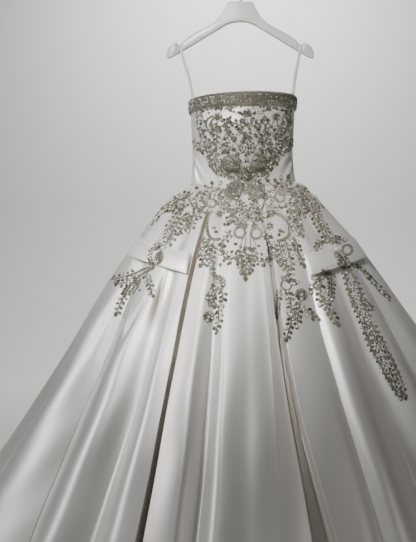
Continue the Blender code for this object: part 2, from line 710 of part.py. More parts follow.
def lobe(piece):
    start = Vector((BOW_X + piece.start_x, 0, piece.start_z))
    end = Vector((BOW_X + piece.end_x, 0, piece.end_z))
    along = end - start
    across = Vector((-along.z, 0, along.x)).normalized()
    reach = [front_surface(start.x, start.z), front_surface(end.x, end.z)]
    hanging = end.z < WAIST_Z - FRONT_DIP
    rings = []
    for share, width, swell in zip(LOBE_SHARES, piece.widths, LOBE_SWELL):
        ring = []
        for side, height in LOBE_RING:
            spot = start + along * share + across * side * width * piece.width / 2
            if hanging:
                bridge = reach[0] + (reach[1] - reach[0]) * share
                below = min(bridge, front_surface(spot.x, spot.z))
            else:
                below = front_surface(spot.x, spot.z)
            ring.append(Vector((spot.x, below - height * swell * piece.thick, spot.z)))
        rings.append(ring)
    seated_tube(piece.name, rings, LOBE_BACK)


for piece in WAIST_LOBES:
    lobe(piece)

rings = []
for share, width, tall in KNOT_ROWS:
    ring = []
    for side, height in KNOT_RING:
        x = BOW_X + side * width * KNOT_WIDTH / 2
        z = KNOT_CENTRE_Z - share * KNOT_TALL / 2
        ring.append(Vector((x, front_surface(x, z) - height * tall * KNOT_THICK, z)))
    rings.append(ring)
seated_tube("waist_bow_knot", rings, (0, -1))

# Hanger: an arched bar with eased corners, notched near both ends.
bar_rows = [row._replace(x=-row.x) for row in reversed(HANGER_ROWS[1:])] + list(HANGER_ROWS)
rings = []
for row in bar_rows:
    ease = min(BAR_CORNER, (row.top - row.bottom) / 3)
    depth = row.half_depth
    rings.append([
        (row.x, -depth, row.top - ease), (row.x, -depth + ease, row.top),
        (row.x, depth - ease, row.top), (row.x, depth, row.top - ease),
        (row.x, depth, row.bottom + ease), (row.x, depth - ease, row.bottom),
        (row.x, -depth + ease, row.bottom), (row.x, -depth, row.bottom + ease),
    ])
tube("hanger_bar", rings, HANGER)

# Hook: a collar on the hanger's neck, a stem and a round bend open to the right.
centre_z = -HOOK_INNER
bend = HOOK_INNER + WIRE
path = list(HOOK_STEM)
for step in range(BEND_STEPS):
    turn = math.radians(BEND_START - step * BEND_STEP)
    path.append((bend * math.cos(turn), centre_z + bend * math.sin(turn)))
neck_top = HANGER_ROWS[0].top + SEAM_GAP
rings = []
for height, radius in COLLAR_ROWS:
    rings.append([
        (COLLAR_RADIUS * radius * math.cos(math.tau * k / WIRE_SIDES),
         COLLAR_RADIUS * radius * math.sin(math.tau * k / WIRE_SIDES),
         neck_top + COLLAR_TALL * height)
        for k in range(WIRE_SIDES)
    ])
for k, (x, z) in enumerate(path):
    before, after = path[max(k - 1, 0)], path[min(k + 1, len(path) - 1)]
    way = Vector((after[0] - before[0], 0, after[1] - before[1])).normalized()
    side = Vector((way.z, 0, -way.x))
    thick = WIRE if k < len(path) - 1 else WIRE * TIP_SHARE
    ring = []
    for j in range(WIRE_SIDES):
        turn = math.tau * j / WIRE_SIDES
        ring.append(Vector((x, 0, z)) + side * thick * math.cos(turn)
                    + Vector((0, 1, 0)) * thick * math.sin(turn))
    rings.append(ring)
tube("hanger_hook", rings, STEEL)


# Ribbon loops: two legs over each notch, turning towards the side seam as they fall.
def ribbon(side):
    half_depth = NOTCH_HALF_DEPTH + SEAM_GAP + RIBBON_THICK / 2
    legs = []
    for leg in (-1, 1):
        points = []
        for t in RIBBON_SHARES:
            x = flow(t, (0.0, RIBBON_NECK_SHARE, 1.0),
                     (side * NOTCH_X, GOWN_X + side * RIBBON_NECK_X, GOWN_X + side * RIBBON_END_X))
            twist = RIBBON_TWIST * rise(t)
            turn = math.radians(twist)
            closing = rise((t - RIBBON_CLEAR) / (RIBBON_NECK_SHARE - RIBBON_CLEAR))
            apart = leg * (half_depth + (RIBBON_APART - half_depth) * closing)
            z = NOTCH_Z - RIBBON_TOP + (RIBBON_END_Z - NOTCH_Z) * t
            place = Vector((x - side * math.sin(turn) * apart, math.cos(turn) * apart, z))
            points.append((place, twist))
        legs.append(points)
    top = [
        (Vector((side * NOTCH_X, y, NOTCH_Z + lift)), 0) for y, lift in RIBBON_OVER
    ]
    way = list(reversed(legs[0])) + top + legs[1]
    rings = []
    for k, (point, twist) in enumerate(way):
        before, after = way[max(k - 1, 0)][0], way[min(k + 1, len(way) - 1)][0]
        along = (after - before).normalized()
        turn = math.radians(twist)
        wide = Vector((side * math.cos(turn), math.sin(turn), 0))
        wide = (wide - along * wide.dot(along)).normalized()
        thin = along.cross(wide).normalized()
        half, slim = RIBBON_WIDE / 2, RIBBON_THICK / 2
        rings.append([
            point + wide * half + thin * slim, point - wide * half + thin * slim,
            point - wide * half - thin * slim, point + wide * half - thin * slim,
        ])
    tube(f"hanger_loop_{'left' if side < 0 else 'right'}", rings, RIBBON)


for side in (-1, 1):
    ribbon(side)

# Zip: a tape inside the centre back, and a small pull outside it below the band.
back_line = [Vector(bodice_inner[r][0]) for r in range(len(shares))]
back_line += [Vector(skirt_inner[r][0]) for r in range(ZIP_SKIRT_ROWS)]
back_line[0].z -= ZIP_BELOW_NECK
near, far = [], []
for k, point in enumerate(back_line):
    before, after = back_line[max(k - 1, 0)], back_line[min(k + 1, len(back_line) - 1)]
    way = (after - before).normalized()
    inwards = Vector((0, way.z, -way.y)).normalized()
    if inwards.y > 0:
        inwards = -inwards
    across = (GOWN_X - ZIP_HALF, GOWN_X, GOWN_X + ZIP_HALF)
    for grid, deep in ((near, SEAM_GAP * 2), (far, SEAM_GAP * 2 + ZIP_THICK)):
        grid.append([(x, point.y + inwards.y * deep, point.z + inwards.z * deep) for x in across])
wall("back_zip_tape", near, far, RIBBON)

rings = []
for row in PULL_ROWS:
    z = NECK_Z - PULL_BELOW_NECK - row.down
    y = bodice_point(math.pi, (NECK_Z - z) / bodice_tall).y + SEAM_GAP * 1.5
    left, right = GOWN_X - row.half, GOWN_X + row.half
    rings.append([(left, y, z), (right, y, z), (right, y + row.thick, z), (left, y + row.thick, z)])
tube("back_zip_pull", rings, STEEL)
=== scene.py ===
import math
from collections import namedtuple

import bmesh
import bpy
import numpy as np
from mathutils import Matrix, Vector
from mathutils.bvhtree import BVHTree


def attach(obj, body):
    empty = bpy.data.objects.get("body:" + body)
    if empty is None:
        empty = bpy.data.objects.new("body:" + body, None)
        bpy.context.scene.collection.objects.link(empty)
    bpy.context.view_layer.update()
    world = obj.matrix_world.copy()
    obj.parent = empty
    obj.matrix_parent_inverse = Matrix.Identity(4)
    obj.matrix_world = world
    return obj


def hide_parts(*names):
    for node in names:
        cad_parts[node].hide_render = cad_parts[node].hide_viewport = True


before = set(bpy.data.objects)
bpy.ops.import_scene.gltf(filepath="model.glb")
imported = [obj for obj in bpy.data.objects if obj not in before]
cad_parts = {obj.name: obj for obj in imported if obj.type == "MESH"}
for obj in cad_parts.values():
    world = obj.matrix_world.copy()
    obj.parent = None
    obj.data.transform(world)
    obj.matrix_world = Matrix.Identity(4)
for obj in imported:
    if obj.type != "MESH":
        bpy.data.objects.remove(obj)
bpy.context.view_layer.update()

# Metres. The origin is the inner top of the hook, the front faces -Y and Z is up.
SHELL = 0.0009
NECK_Z = -0.344
WAIST_Z = -0.585
SIDE_TILT = 0.006
FRONT_DIP = 0.022
SEAM_GAP = 0.0003
GOWN_X = 0.007
CAMERA_Y, CAMERA_Z = -2.2, -0.838
FOCUS_PX, FRAME_W, FRAME_H = 758.6, 416, 542

# Bodice sections from the neckline (share 0) to the waist (share 1).
BodiceRow = namedtuple("BodiceRow", "share half_width front back")
BODICE_ROWS = [BodiceRow(*row) for row in (
    (0, 0.153, 0.104, 0.082),
    (0.15, 0.1505, 0.107, 0.08),
    (0.32, 0.149, 0.107, 0.078),
    (0.5, 0.147, 0.099, 0.075),
    (0.68, 0.1455, 0.086, 0.072),
    (0.85, 0.148, 0.075, 0.07),
    (1, 0.153, 0.07, 0.07),
)]
# Bodice panels: their seams in degrees from the centre front, and each whole cut piece in metres.
Panel = namedtuple("Panel", "name left_top left_waist right_top right_waist cut_wide cut_long area")
BODICE_PANELS = [Panel(*row) for row in (
    ("bodice_back_left", -180, -180, -142, -150, 0.098, 0.245, 0.021),
    ("bodice_side_back_left", -142, -150, -90, -90, 0.12, 0.245, 0.023),
    ("bodice_side_front_left", -90, -90, -44, -26, 0.135, 0.255, 0.026),
    ("bodice_front", -44, -26, 44, 26, 0.205, 0.265, 0.047),
    ("bodice_side_front_right", 44, 26, 90, 90, 0.135, 0.255, 0.026),
    ("bodice_side_back_right", 90, 90, 142, 150, 0.12, 0.245, 0.023),
    ("bodice_back_right", 142, 150, 180, 180, 0.098, 0.245, 0.021),
)]
SLANT_FROM = 0.16

# Skirt sections by their drop below the waist.
SkirtRow = namedtuple("SkirtRow", "drop half_width front back lean")
SKIRT_ROWS = [SkirtRow(*row) for row in (
    (0, 0.153, 0.07, 0.07, 0),
    (0.006, 0.17, 0.082, 0.083, 0.001),
    (0.024, 0.192, 0.105, 0.107, -0.002),
    (0.05, 0.219, 0.132, 0.136, -0.002),
    (0.095, 0.257, 0.17, 0.177, 0),
    (0.165, 0.313, 0.222, 0.234, 0.007),
    (0.245, 0.369, 0.27, 0.288, 0.01),
    (0.34, 0.43, 0.322, 0.346, 0.015),
    (0.45, 0.498, 0.38, 0.408, 0.021),
    (0.58, 0.582, 0.448, 0.482, 0.027),
    (0.745, 0.697, 0.538, 0.582, 0.034),
    (0.93, 0.829, 0.64, 0.692, 0.037),
    (1.11, 0.953, 0.736, 0.796, 0.039),
)]
# Folds: their angles in degrees at three drops, their pushes out in millimetres, and how sharp.
FOLD_DROPS = (0.10, 0.45, 1.11)
FOLD_START = 0.07
WAIST_DIP_ENDS = 0.25
Fold = namedtuple("Fold", "name top mid hem push_top push_mid push_hem sharp")
FOLDS = [Fold(*row) for row in (
    ("back_seam", -180, -180, -180, -3, -14, -30, 0.6),
    ("back_left_roll_1", -169, -169, -169.5, 2, 10, 22, 0),
    ("back_left_valley_1", -157, -157.5, -158, -3, -13, -27, 0.5),
    ("back_left_roll_2", -148, -147.5, -147, 2, 10, 22, 0),
    ("back_left_seam", -139.5, -138.5, -137.5, -6, -24, -44, 0.8),
    ("back_left_roll_3", -130, -129.5, -129, 3, 12, 24, 0),
    ("back_left_valley_2", -119, -119.5, -120, -2, -11, -24, 0.4),
    ("back_left_roll_4", -108, -108, -108, 2, 10, 20, 0),
    ("side_left_seam", -98, -98, -98, -4, -18, -36, 0.7),
    ("side_left_roll", -87, -87, -86, 2, 7, 16, 0),
    ("side_left_valley", -76, -75, -73, -2, -9, -22, 0.4),
    ("left_outer_roll", -65, -63.5, -57, 3, 10, 20, 0),
    ("left_outer_seam", -52, -51, -41, -4, -20, -30, 0.8),
    ("left_broad_roll", -40.5, -38, -35.5, 4, 14, 24, 0),
    ("left_soft_valley", -31.5, -30.5, -28.5, -4, -7, -10, 0.3),
    ("left_inner_roll", -27.5, -26, -23, 2, 8, 14, 0.2),
    ("deep_pleat_left_lip", -23.9, -22.35, -19.2, 1, 5, 7, 1),
    ("deep_pleat_left_bottom", -23.6, -22.1, -18.8, -20, -42, -55, 1),
    ("deep_pleat_right_bottom", -22, -21.3, -18.2, -20, -42, -55, 1),
    ("deep_pleat_right_lip", -21.2, -20.8, -17.6, 2, 6, 8, 1),
    ("front_left_roll", -17.3, -15.7, -12.9, 4, 11, 17, 0),
    ("front_left_crease", -12.4, -11.3, -10.4, -1, -8, -14, 0.5),
    ("centre_roll", -6.8, -7.4, -7.2, 3, 10, 17, 0),
    ("centre_shoulder", 1.5, -0.5, -2.5, 2, 4, 5, 0),
    ("soft_edge", 7, 5.2, 1.4, 1, 1, 0, 0.6),
    ("right_pleat_left_lip", 10.2, 8, 9.4, -1, -7, -19, 1),
    ("right_pleat_left_bottom", 10.7, 8.5, 10.2, -14, -30, -46, 1),
    ("right_pleat_right_bottom", 11.6, 9.4, 14, -14, -32, -52, 1),
    ("right_pleat_right_lip", 12.1, 10, 15.2, 2, 6, 10, 1),
    ("right_flat_roll", 19, 15.5, 17.4, 3, 7, 11, 0),
    ("right_thin_crease", 26.5, 21.9, 19.8, -1, -3, -4, 1),
    ("right_stripe_roll", 30.5, 25.4, 22.6, 3, 8, 12, 0),
    ("right_soft_valley", 41, 36, 29.5, -3, -15, -26, 0.3),
    ("right_outer_roll", 48.5, 45, 40, 4, 11, 19, 0),
    ("right_outer_seam", 57, 55, 52, -3, -16, -30, 0.6),
    ("side_right_roll_1", 66, 65, 63, 3, 10, 19, 0),
    ("side_right_valley", 76, 76, 75, -2, -8, -20, 0.5),
    ("side_right_roll_2", 87, 87, 86, 2, 8, 17, 0),
    ("side_right_seam", 98, 98, 98, -4, -17, -34, 0.7),
    ("back_right_roll_1", 108, 107.5, 107, 2, 10, 20, 0),
    ("back_right_valley_1", 119, 119.5, 120, -2, -11, -25, 0.3),
    ("back_right_roll_2", 130, 130, 130, 3, 12, 24, 0),
    ("back_right_seam", 140.5, 139.5, 139, -5, -22, -44, 0.8),
    ("back_right_roll_3", 150, 149.5, 149, 2, 10, 22, 0),
    ("back_right_valley_2", 160, 160.5, 161, -3, -12, -26, 0.4),
    ("back_right_roll_4", 170, 170, 170.5, 2, 10, 22, 0),
)]
# Gores: the folds that they are seamed in, and each whole cut piece in metres.
Gore = namedtuple("Gore", "name left_seam right_seam cut_hem cut_long area")
GORES = [Gore(*row) for row in (
    ("skirt_back_left", "back_seam", "back_left_seam", 0.78, 1.33, 0.58),
    ("skirt_side_back_left", "back_left_seam", "side_left_seam", 0.74, 1.35, 0.515),
    ("skirt_side_left", "side_left_seam", "left_outer_seam", 0.84, 1.38, 0.57),
    ("skirt_side_front_left", "left_outer_seam", "deep_pleat_left_bottom", 0.4, 1.33, 0.395),
    ("skirt_front", "deep_pleat_left_bottom", "right_pleat_left_bottom", 0.6, 1.3, 0.49),
    ("skirt_side_front_right", "right_pleat_left_bottom", "right_outer_seam", 0.66, 1.31, 0.62),
    ("skirt_side_right", "right_outer_seam", "side_right_seam", 0.7, 1.37, 0.51),
    ("skirt_side_back_right", "side_right_seam", "back_right_seam", 0.76, 1.36, 0.535),
    ("skirt_back_right", "back_right_seam", "back_seam", 0.76, 1.33, 0.57),
)]


def slopes_of(knots, values):
    steps = np.diff(values) / np.diff(knots)
    slopes = [steps[0]]
    for left, right in zip(steps, steps[1:]):
        slopes.append(0.0 if left * right <= 0 else 2 * left * right / (left + right))
    return np.array(slopes + [steps[-1]])


def flow(at, knots, values):
    """A table's values at places, on a smooth line that never overshoots."""
    knots, values = np.asarray(knots, float), np.asarray(values, float)
    slopes = slopes_of(knots, values)
    at = np.clip(np.asarray(at, float), knots[0], knots[-1])
    i = np.clip(np.searchsorted(knots, at, side="right") - 1, 0, len(knots) - 2)
    span = knots[i + 1] - knots[i]
    t = (at - knots[i]) / span
    ends = (2 * t**3 - 3 * t**2 + 1) * values[i] + (3 * t**2 - 2 * t**3) * values[i + 1]
    return ends + span * ((t**3 - 2 * t**2 + t) * slopes[i] + (t**3 - t**2) * slopes[i + 1])


def rise(at):
    """A smooth step from 0 to 1."""
    at = np.clip(at, 0.0, 1.0)
    return at * at * (3 - 2 * at)


def column_of(rows, field):
    return [getattr(row, field) for row in rows]


def waist_z(angle):
    return WAIST_Z + SIDE_TILT * np.sin(angle) - FRONT_DIP * np.maximum(0.0, np.cos(angle)) ** 3


def neck_z(angle):
    return NECK_Z + SIDE_TILT * np.sin(angle)


def section(angle, half_width, front, back):
    """Points and outward directions on an oval section with unlike front and back halves."""
    depth = np.where(np.cos(angle) > 0, front, back)
    x, y = GOWN_X + half_width * np.sin(angle), -depth * np.cos(angle)
    out = np.stack([np.sin(angle) / half_width, -np.cos(angle) / depth, 0 * y], -1)
    return x, y, out / np.linalg.norm(out, axis=-1, keepdims=True)


def bodice_points(angle, share, out=0.0):
    """Bodice points at angles in radians and shares of the way down, moved out."""
    measures = [flow(share, column_of(BODICE_ROWS, "share"), column_of(BODICE_ROWS, field))
                for field in ("half_width", "front", "back")]
    x, y, normal = section(angle, *measures)
    z = neck_z(angle) + (waist_z(angle) - neck_z(angle)) * share
    return np.stack([x, y, z], -1) + normal * np.asarray(out)[..., None]


SKIRT_DROPS = column_of(SKIRT_ROWS, "drop")


def skirt_points(angle, drop, push=0.0):
    """Skirt points at angles in radians and drops below the waist, pushed out."""
    half_width, front, back, lean = [
        flow(drop, SKIRT_DROPS, column_of(SKIRT_ROWS, field))
        for field in ("half_width", "front", "back", "lean")
    ]
    x, y, normal = section(angle, half_width, front, back)
    seam = waist_z(angle) - WAIST_Z
    z = WAIST_Z - SEAM_GAP - drop + seam * (1 - rise(drop / WAIST_DIP_ENDS))
    return np.stack([x + lean, y, z], -1) + normal * np.asarray(push)[..., None]


def fold_lines(drops):
    """Angle in degrees and push in metres of every fold line at each drop."""
    angles, pushes = [], []
    start = rise(drops / FOLD_START)
    for fold in FOLDS:
        angles.append(flow(drops, FOLD_DROPS, (fold.top, fold.mid, fold.hem)))
        push = flow(drops, FOLD_DROPS, (fold.push_top, fold.push_mid, fold.push_hem))
        pushes.append(push / 1000 * start)
    angles.append(angles[0] + 360)
    pushes.append(pushes[0])
    return np.array(angles), np.array(pushes)


# Fine creases that hang off the waist and the hip bows, in degrees and metres:
# each row is a soft ridge or trough that starts and ends at a drop.
Crease = namedtuple("Crease", "angle_start angle_end start end width height")
CREASES = [Crease(*row) for row in (
    (-62, -58, 0.02, 0.42, 2.6, 0.0022),
    (-56.5, -55, 0.26, 0.52, 1.6, 0.003),
    (-47, -44, 0.3, 0.62, 1.7, -0.0034),
    (-45.5, -40, 0.3, 0.44, 1.1, 0.004),
    (-41, -45.5, 0.34, 0.47, 1.2, 0.0036),
    (-36.5, -36, 0.28, 0.6, 1.5, -0.0024),
    (-33.5, -31, 0.04, 0.22, 1, -0.005),
    (-30.5, -31.5, 0.22, 0.4, 1.6, -0.006),
    (-28, -27, 0.02, 0.3, 1.4, 0.0022),
    (-18.5, -17, 0.03, 0.34, 1.3, -0.0018),
    (-14.5, -14, 0.04, 0.42, 1.5, 0.002),
    (-9, -9.5, 0.05, 0.5, 1.4, -0.0018),
    (-3, -3.5, 0.06, 0.55, 2, 0.0016),
    (4.5, 3, 0.1, 0.9, 1.6, -0.002),
    (15.5, 12.5, 0.04, 0.4, 1.3, -0.002),
    (17.5, 15.8, 0.3, 1, 1.6, -0.0022),
    (23, 19, 0.04, 0.36, 1.4, 0.0022),
    (34, 30, 0.04, 0.6, 1.8, -0.0026),
    (38, 33.5, 0.24, 0.74, 2, -0.003),
    (44, 41, 0.24, 0.6, 1.6, 0.0028),
    (52, 50, 0.06, 0.52, 1.8, -0.0026),
    (60.5, 59, 0.22, 0.66, 2, 0.003),
    (70.5, 70, 0.2, 0.8, 1.8, -0.0034),
    (82, 80, 0.05, 0.5, 2.2, 0.0022),
    (-70, -68, 0.1, 0.7, 2.2, -0.003),
    (-82, -80, 0.05, 0.6, 2.2, 0.0022),
    (-93, -92, 0.1, 0.6, 2.4, -0.0026),
    (-104, -103, 0.05, 0.55, 2.2, 0.0024),
    (-114, -113, 0.12, 0.8, 2.4, -0.0028),
    (-125, -124, 0.05, 0.6, 2, 0.0026),
    (-134, -134, 0.1, 0.5, 2, -0.0024),
    (-144, -143, 0.05, 0.45, 2, 0.0022),
    (-152, -152, 0.15, 0.8, 2.2, -0.0028),
    (-163, -164, 0.05, 0.6, 2, 0.0024),
    (-174, -174.5, 0.1, 0.7, 2, -0.0024),
    (92, 91, 0.1, 0.65, 2.4, -0.0026),
    (103, 103, 0.05, 0.6, 2.2, 0.0024),
    (113, 113.5, 0.12, 0.75, 2.2, -0.0028),
    (125, 125, 0.05, 0.55, 2, 0.0026),
    (135, 134, 0.1, 0.6, 2, -0.0026),
    (145, 144, 0.05, 0.5, 2, 0.0022),
    (155, 156, 0.15, 0.7, 2, -0.0026),
    (165, 165, 0.05, 0.6, 2.2, 0.0024),
    (175, 175, 0.12, 0.8, 2, -0.0022),
)]


# Narrow slots beside the left hip bow, where the cloth is tucked in and falls into shadow; their depth
# also sets painted shade in the satin's colour.
SLOTS = [Crease(*row) for row in (
    (-29.6, -32.6, 0.115, 0.235, 0.8, -0.006),
    (-34.8, -32.6, 0.225, 0.4, 1, -0.0075),
    (-37.5, -41, 0.3, 0.46, 0.9, -0.0035),
)]


# A crease's width at its start, how much it widens, and how fast its ends fade.
CREASE_NARROW, CREASE_WIDENS, CREASE_FADE = 0.8, 0.5, 1.3


def creases_at(angle, drop, creases):
    """Push of fine creases at grids of angles in degrees and drops."""
    push = np.zeros_like(angle)
    for c in creases:
        t = (drop - c.start) / (c.end - c.start)
        middle = c.angle_start + (c.angle_end - c.angle_start) * np.clip(t, 0, 1)
        spread = c.width * (CREASE_NARROW + CREASE_WIDENS * np.clip(t, 0, 1))
        fade = np.where((t > 0) & (t < 1), np.sin(np.clip(t, 0, 1) * math.pi) ** CREASE_FADE, 0)
        push += c.height * fade * np.exp(-(((angle - middle) / spread) ** 2))
    return push


SWELL_HEIGHT = 0.0016
SWELL_DOWN, SWELL_LEAN, SWELL_ROUND, SWELL_SLANT = 17, 5, 23, 6
SWELL_FROM, SWELL_OVER = 0.08, 0.3


def swell_at(angle, drop):
    """Slow unevenness of a hanging cloth, from crossed waves down and round it."""
    turn = np.radians(angle)
    wave = np.sin(drop * SWELL_DOWN + turn * SWELL_LEAN)
    wave = wave * np.sin(turn * SWELL_ROUND + drop * SWELL_SLANT)
    return SWELL_HEIGHT * wave * rise((drop - SWELL_FROM) / SWELL_OVER)


# Skirt grid: columns follow the fold lines, finest at the sharp ones.
SKIRT_STEPS = 110
COLUMN_STEP = 0.75
WAIST_REACH, WAIST_STEPS, DROP_POWER = 0.03, 9, 1.15
BESIDE_SHARP = (0.02, 0.06, 0.13)
FOLD_TANGENT = 1.6
# Folds fade into the waist seam and deepen below the hips, apart from the deepest; the painted fold
# shade fades too.
FADE_FROM, FADE_OVER, FADE_LEAST = 0.045, 0.05, 0.15
DEEPEN_FROM, DEEPEN_OVER, DEEPEN_BY, DEEPEST = 0.24, 0.25, 0.55, 0.03
SHADE_FROM, SHADE_OVER = 0.055, 0.04
SLOT_DEEPEST = 0.0075
THIN_CREASE_SHADE, THIN_CREASE_FROM, THIN_CREASE_OVER = 0.5, 0.10, 0.1
drops = np.concatenate([
    np.linspace(0, WAIST_REACH, WAIST_STEPS)[:-1],
    WAIST_REACH + (SKIRT_DROPS[-1] - WAIST_REACH) * np.linspace(0, 1, SKIRT_STEPS) ** DROP_POWER,
])
line_angles, line_pushes = fold_lines(drops)
columns, fold_column = [], {}
for i, fold in enumerate(FOLDS):
    following = FOLDS[(i + 1) % len(FOLDS)]
    width = (following.mid - fold.mid) % 360
    parts = max(3, round(width / COLUMN_STEP))
    fold_column[fold.name] = len(columns)
    shares = [k / parts for k in range(parts)]
    if fold.sharp > 0.5:
        shares += BESIDE_SHARP
    if following.sharp > 0.5:
        shares += [1 - share for share in BESIDE_SHARP]
    columns += [(i, share) for share in sorted(set(shares))]
first = np.array([c[0] for c in columns])
t = np.array([c[1] for c in columns])[None, :]
sharp = np.array([fold.sharp for fold in FOLDS] + [FOLDS[0].sharp])
a0, a1 = line_angles[first].T, line_angles[first + 1].T
p0, p1 = line_pushes[first].T, line_pushes[first + 1].T
push = (2 * t**3 - 3 * t**2 + 1) * p0 + (3 * t**2 - 2 * t**3) * p1
push += (t**3 - 2 * t**2 + t) * (p1 - p0) * FOLD_TANGENT * sharp[first]
push += (t**3 - t**2) * (p1 - p0) * FOLD_TANGENT * sharp[first + 1]
degrees = a0 + (a1 - a0) * t
drop_grid = np.repeat(drops[:, None], len(columns), 1)
deepened = rise((drop_grid - DEEPEN_FROM) / DEEPEN_OVER) * (np.abs(push) < DEEPEST)
push *= 1 + DEEPEN_BY * deepened
push *= FADE_LEAST + (1 - FADE_LEAST) * rise((drop_grid - FADE_FROM) / FADE_OVER)
slots = creases_at(degrees, drop_grid, SLOTS)
push += slots + creases_at(degrees, drop_grid, CREASES) + swell_at(degrees, drop_grid)

# Painted shade: how deep a point lies in shadow, painted brown into the satin's colour: the insides of
# the two front pleats, and the slots.
Shadow = namedtuple("Shadow", "left_lip left_bottom right_bottom right_lip left right")
SHADOWS = [Shadow(*row) for row in (
    ("deep_pleat_left_lip", "deep_pleat_left_bottom", "deep_pleat_right_bottom",
     "deep_pleat_right_lip", 0.75, 1),
    ("right_pleat_left_lip", "right_pleat_left_bottom", "right_pleat_right_bottom",
     "right_pleat_right_lip", 0.34, 0.4),
)]
place = np.arange(len(columns))
painted_fold_shade = np.clip(-slots / SLOT_DEEPEST, 0, 1)
for shadow in SHADOWS:
    stops = [fold_column[line] for line in shadow[:4]]
    shade_row = np.interp(place, stops, (0, shadow.left, shadow.right, 0), left=0, right=0)
    painted_fold_shade = np.maximum(painted_fold_shade, shade_row[None, :])
thin_crease = THIN_CREASE_SHADE * rise((drops - THIN_CREASE_FROM) / THIN_CREASE_OVER)
painted_fold_shade[:, fold_column["right_thin_crease"]] = thin_crease
painted_fold_shade *= rise((drop_grid - SHADE_FROM) / SHADE_OVER)
skirt_grid = skirt_points(np.radians(degrees), drop_grid, push)


def shade(tree, kind, links=(), **values):
    """A shader node with its properties and sockets set, fed by links of socket and source."""
    node = tree.nodes.new("ShaderNode" + kind)
    for key, value in values.items():
        name = key.replace("_", " ")
        if name in node.inputs:
            node.inputs[name].default_value = value
        else:
            setattr(node, key, value)
    for socket, source in links:
        tree.links.new(source, node.inputs[socket])
    return node


def grain(tree, kind, output="Fac", stretch=(1, 1, 1), **values):
    """The value of a texture that is laid out by the object's own coordinates."""
    place = shade(tree, "TexCoord").outputs["Object"]
    spread = shade(tree, "Mapping", [("Vector", place)], Scale=stretch).outputs["Vector"]
    return shade(tree, "Tex" + kind, [("Vector", spread)], **values).outputs[output]


def ramp_of(tree, value, stops):
    """Colours over a value, from stops of place and colour."""
    ramp = shade(tree, "ValToRGB", [("Fac", value)])
    points = ramp.color_ramp.elements
    points[0].position, points[1].position = stops[0][0], stops[-1][0]
    points[0].color, points[1].color = (*stops[0][1], 1), (*stops[-1][1], 1)
    for at, colour in stops[1:-1]:
        points.new(at).color = (*colour, 1)
    return ramp.outputs["Color"]


def surface(name, colour, rough, metal=0.0, **more):
    """A principled material, its tree and its shader."""
    material = bpy.data.materials.new(name)
    material.use_nodes = True
    tree = material.node_tree
    shader = tree.nodes["Principled BSDF"]
    shader.inputs["Base Color"].default_value = (*colour, 1)
    shader.inputs["Roughness"].default_value = rough
    shader.inputs["Metallic"].default_value = metal
    for key, value in more.items():
        shader.inputs[key.replace("_", " ")].default_value = value
    return material, tree, shader


def raise_by(tree, shader, height, strength, distance):
    bump = shade(tree, "Bump", [("Height", height)], Strength=strength, Distance=distance)
    tree.links.new(bump.outputs["Normal"], shader.inputs["Normal"])


def grained(name, colour, rough, value, shades, places, strength, distance, **look):
    """A material whose texture tints it between two shares of its colour and raises it."""
    material, tree, shader = surface(name, colour, rough, **look)
    height = grain(tree, **value)
    stops = [(at, [c * share for c in colour]) for at, share in zip(places, shades)]
    tree.links.new(ramp_of(tree, height, stops), shader.inputs["Base Color"])
    raise_by(tree, shader, height, strength, distance)
    return material


# Duchess satin: a fine slanted weave, a soft sheen and slight cloudiness, with painted brown shade in
# deep folds.
PAINTED_FOLD_SHADE_COLOUR = (0.25, 0.175, 0.105)
CLOUD_SHARES = (0.9393, 0.93, 0.91605)


def satin(name, colour, rough):
    material, tree, shader = surface(
        name, colour, rough, metal=0.42, Specular_IOR_Level=0.55, Sheen_Weight=0.10,
        Sheen_Roughness=0.35, Coat_Weight=0.06, Coat_Roughness=0.28)
    cloud = grain(tree, "Noise", Scale=7.0, Detail=3.0, Roughness=0.55)
    low = [c * share for c, share in zip(colour, CLOUD_SHARES)]
    cloudy = ramp_of(tree, cloud, ((0.3, low), (0.75, colour)))
    # Painted shade: the satin's colour turns brown where the fold shade attribute says a point lies in
    # shadow.
    depth = shade(tree, "Attribute", attribute_name="painted_fold_shade").outputs["Fac"]
    fold = shade(tree, "Mix", data_type="RGBA")
    fold.inputs["B"].default_value = (*PAINTED_FOLD_SHADE_COLOUR, 1)
    tree.links.new(depth, fold.inputs["Factor"])
    tree.links.new(cloudy, fold.inputs["A"])
    tree.links.new(fold.outputs["Result"], shader.inputs["Base Color"])
    weave = grain(tree, "Wave", Scale=420.0, Distortion=1.2, Detail=1.0, bands_direction="DIAGONAL")
    slub = grain(tree, "Noise", Scale=160.0, Detail=2.0)
    both = shade(tree, "Math", [(0, weave), (1, slub)], operation="MULTIPLY")
    raise_by(tree, shader, both.outputs["Value"], 0.10, 0.0004)
    return material


SATIN = satin("ivory_satin_cloth", (0.85, 0.828, 0.785), 0.405)
# Painted light: the hip bows take a lighter copy of the same satin, for the light that they catch on the
# lit side.
BOW_SATIN_PAINTED_LIGHT = satin("ivory_satin_bow_painted_light", (0.95, 0.93, 0.89), 0.46)
# Gloss paint with faint brush marks, drawn wire with fine lines, and ribbon with level ribs.
HANGER_WHITE = grained(
    "hanger_white_paint", (0.90, 0.895, 0.865), 0.30,
    dict(kind="Noise", stretch=(6, 60, 40), Scale=3.0, Detail=4.0, Roughness=0.6),
    (0.90, 1), (0.25, 0.7), 0.08, 0.0006, Coat_Weight=0.35, Coat_Roughness=0.18)
STEEL = grained("hook_steel_wire", (0.56, 0.56, 0.55), 0.24, dict(kind="Noise", Scale=900.0, Detail=2.0),
                (0.8, 1), (0.35, 0.65), 0.12, 0.0002, metal=1.0)
RIBBON = grained(
    "ribbon_satin", (0.93, 0.93, 0.92), 0.42,
    dict(kind="Wave", Scale=330.0, Distortion=0.4, Detail=1.0, bands_direction="Z"),
    (0.86, 1), (0.1, 0.6), 0.25, 0.0003, Sheen_Weight=0.2, Sheen_Roughness=0.4)
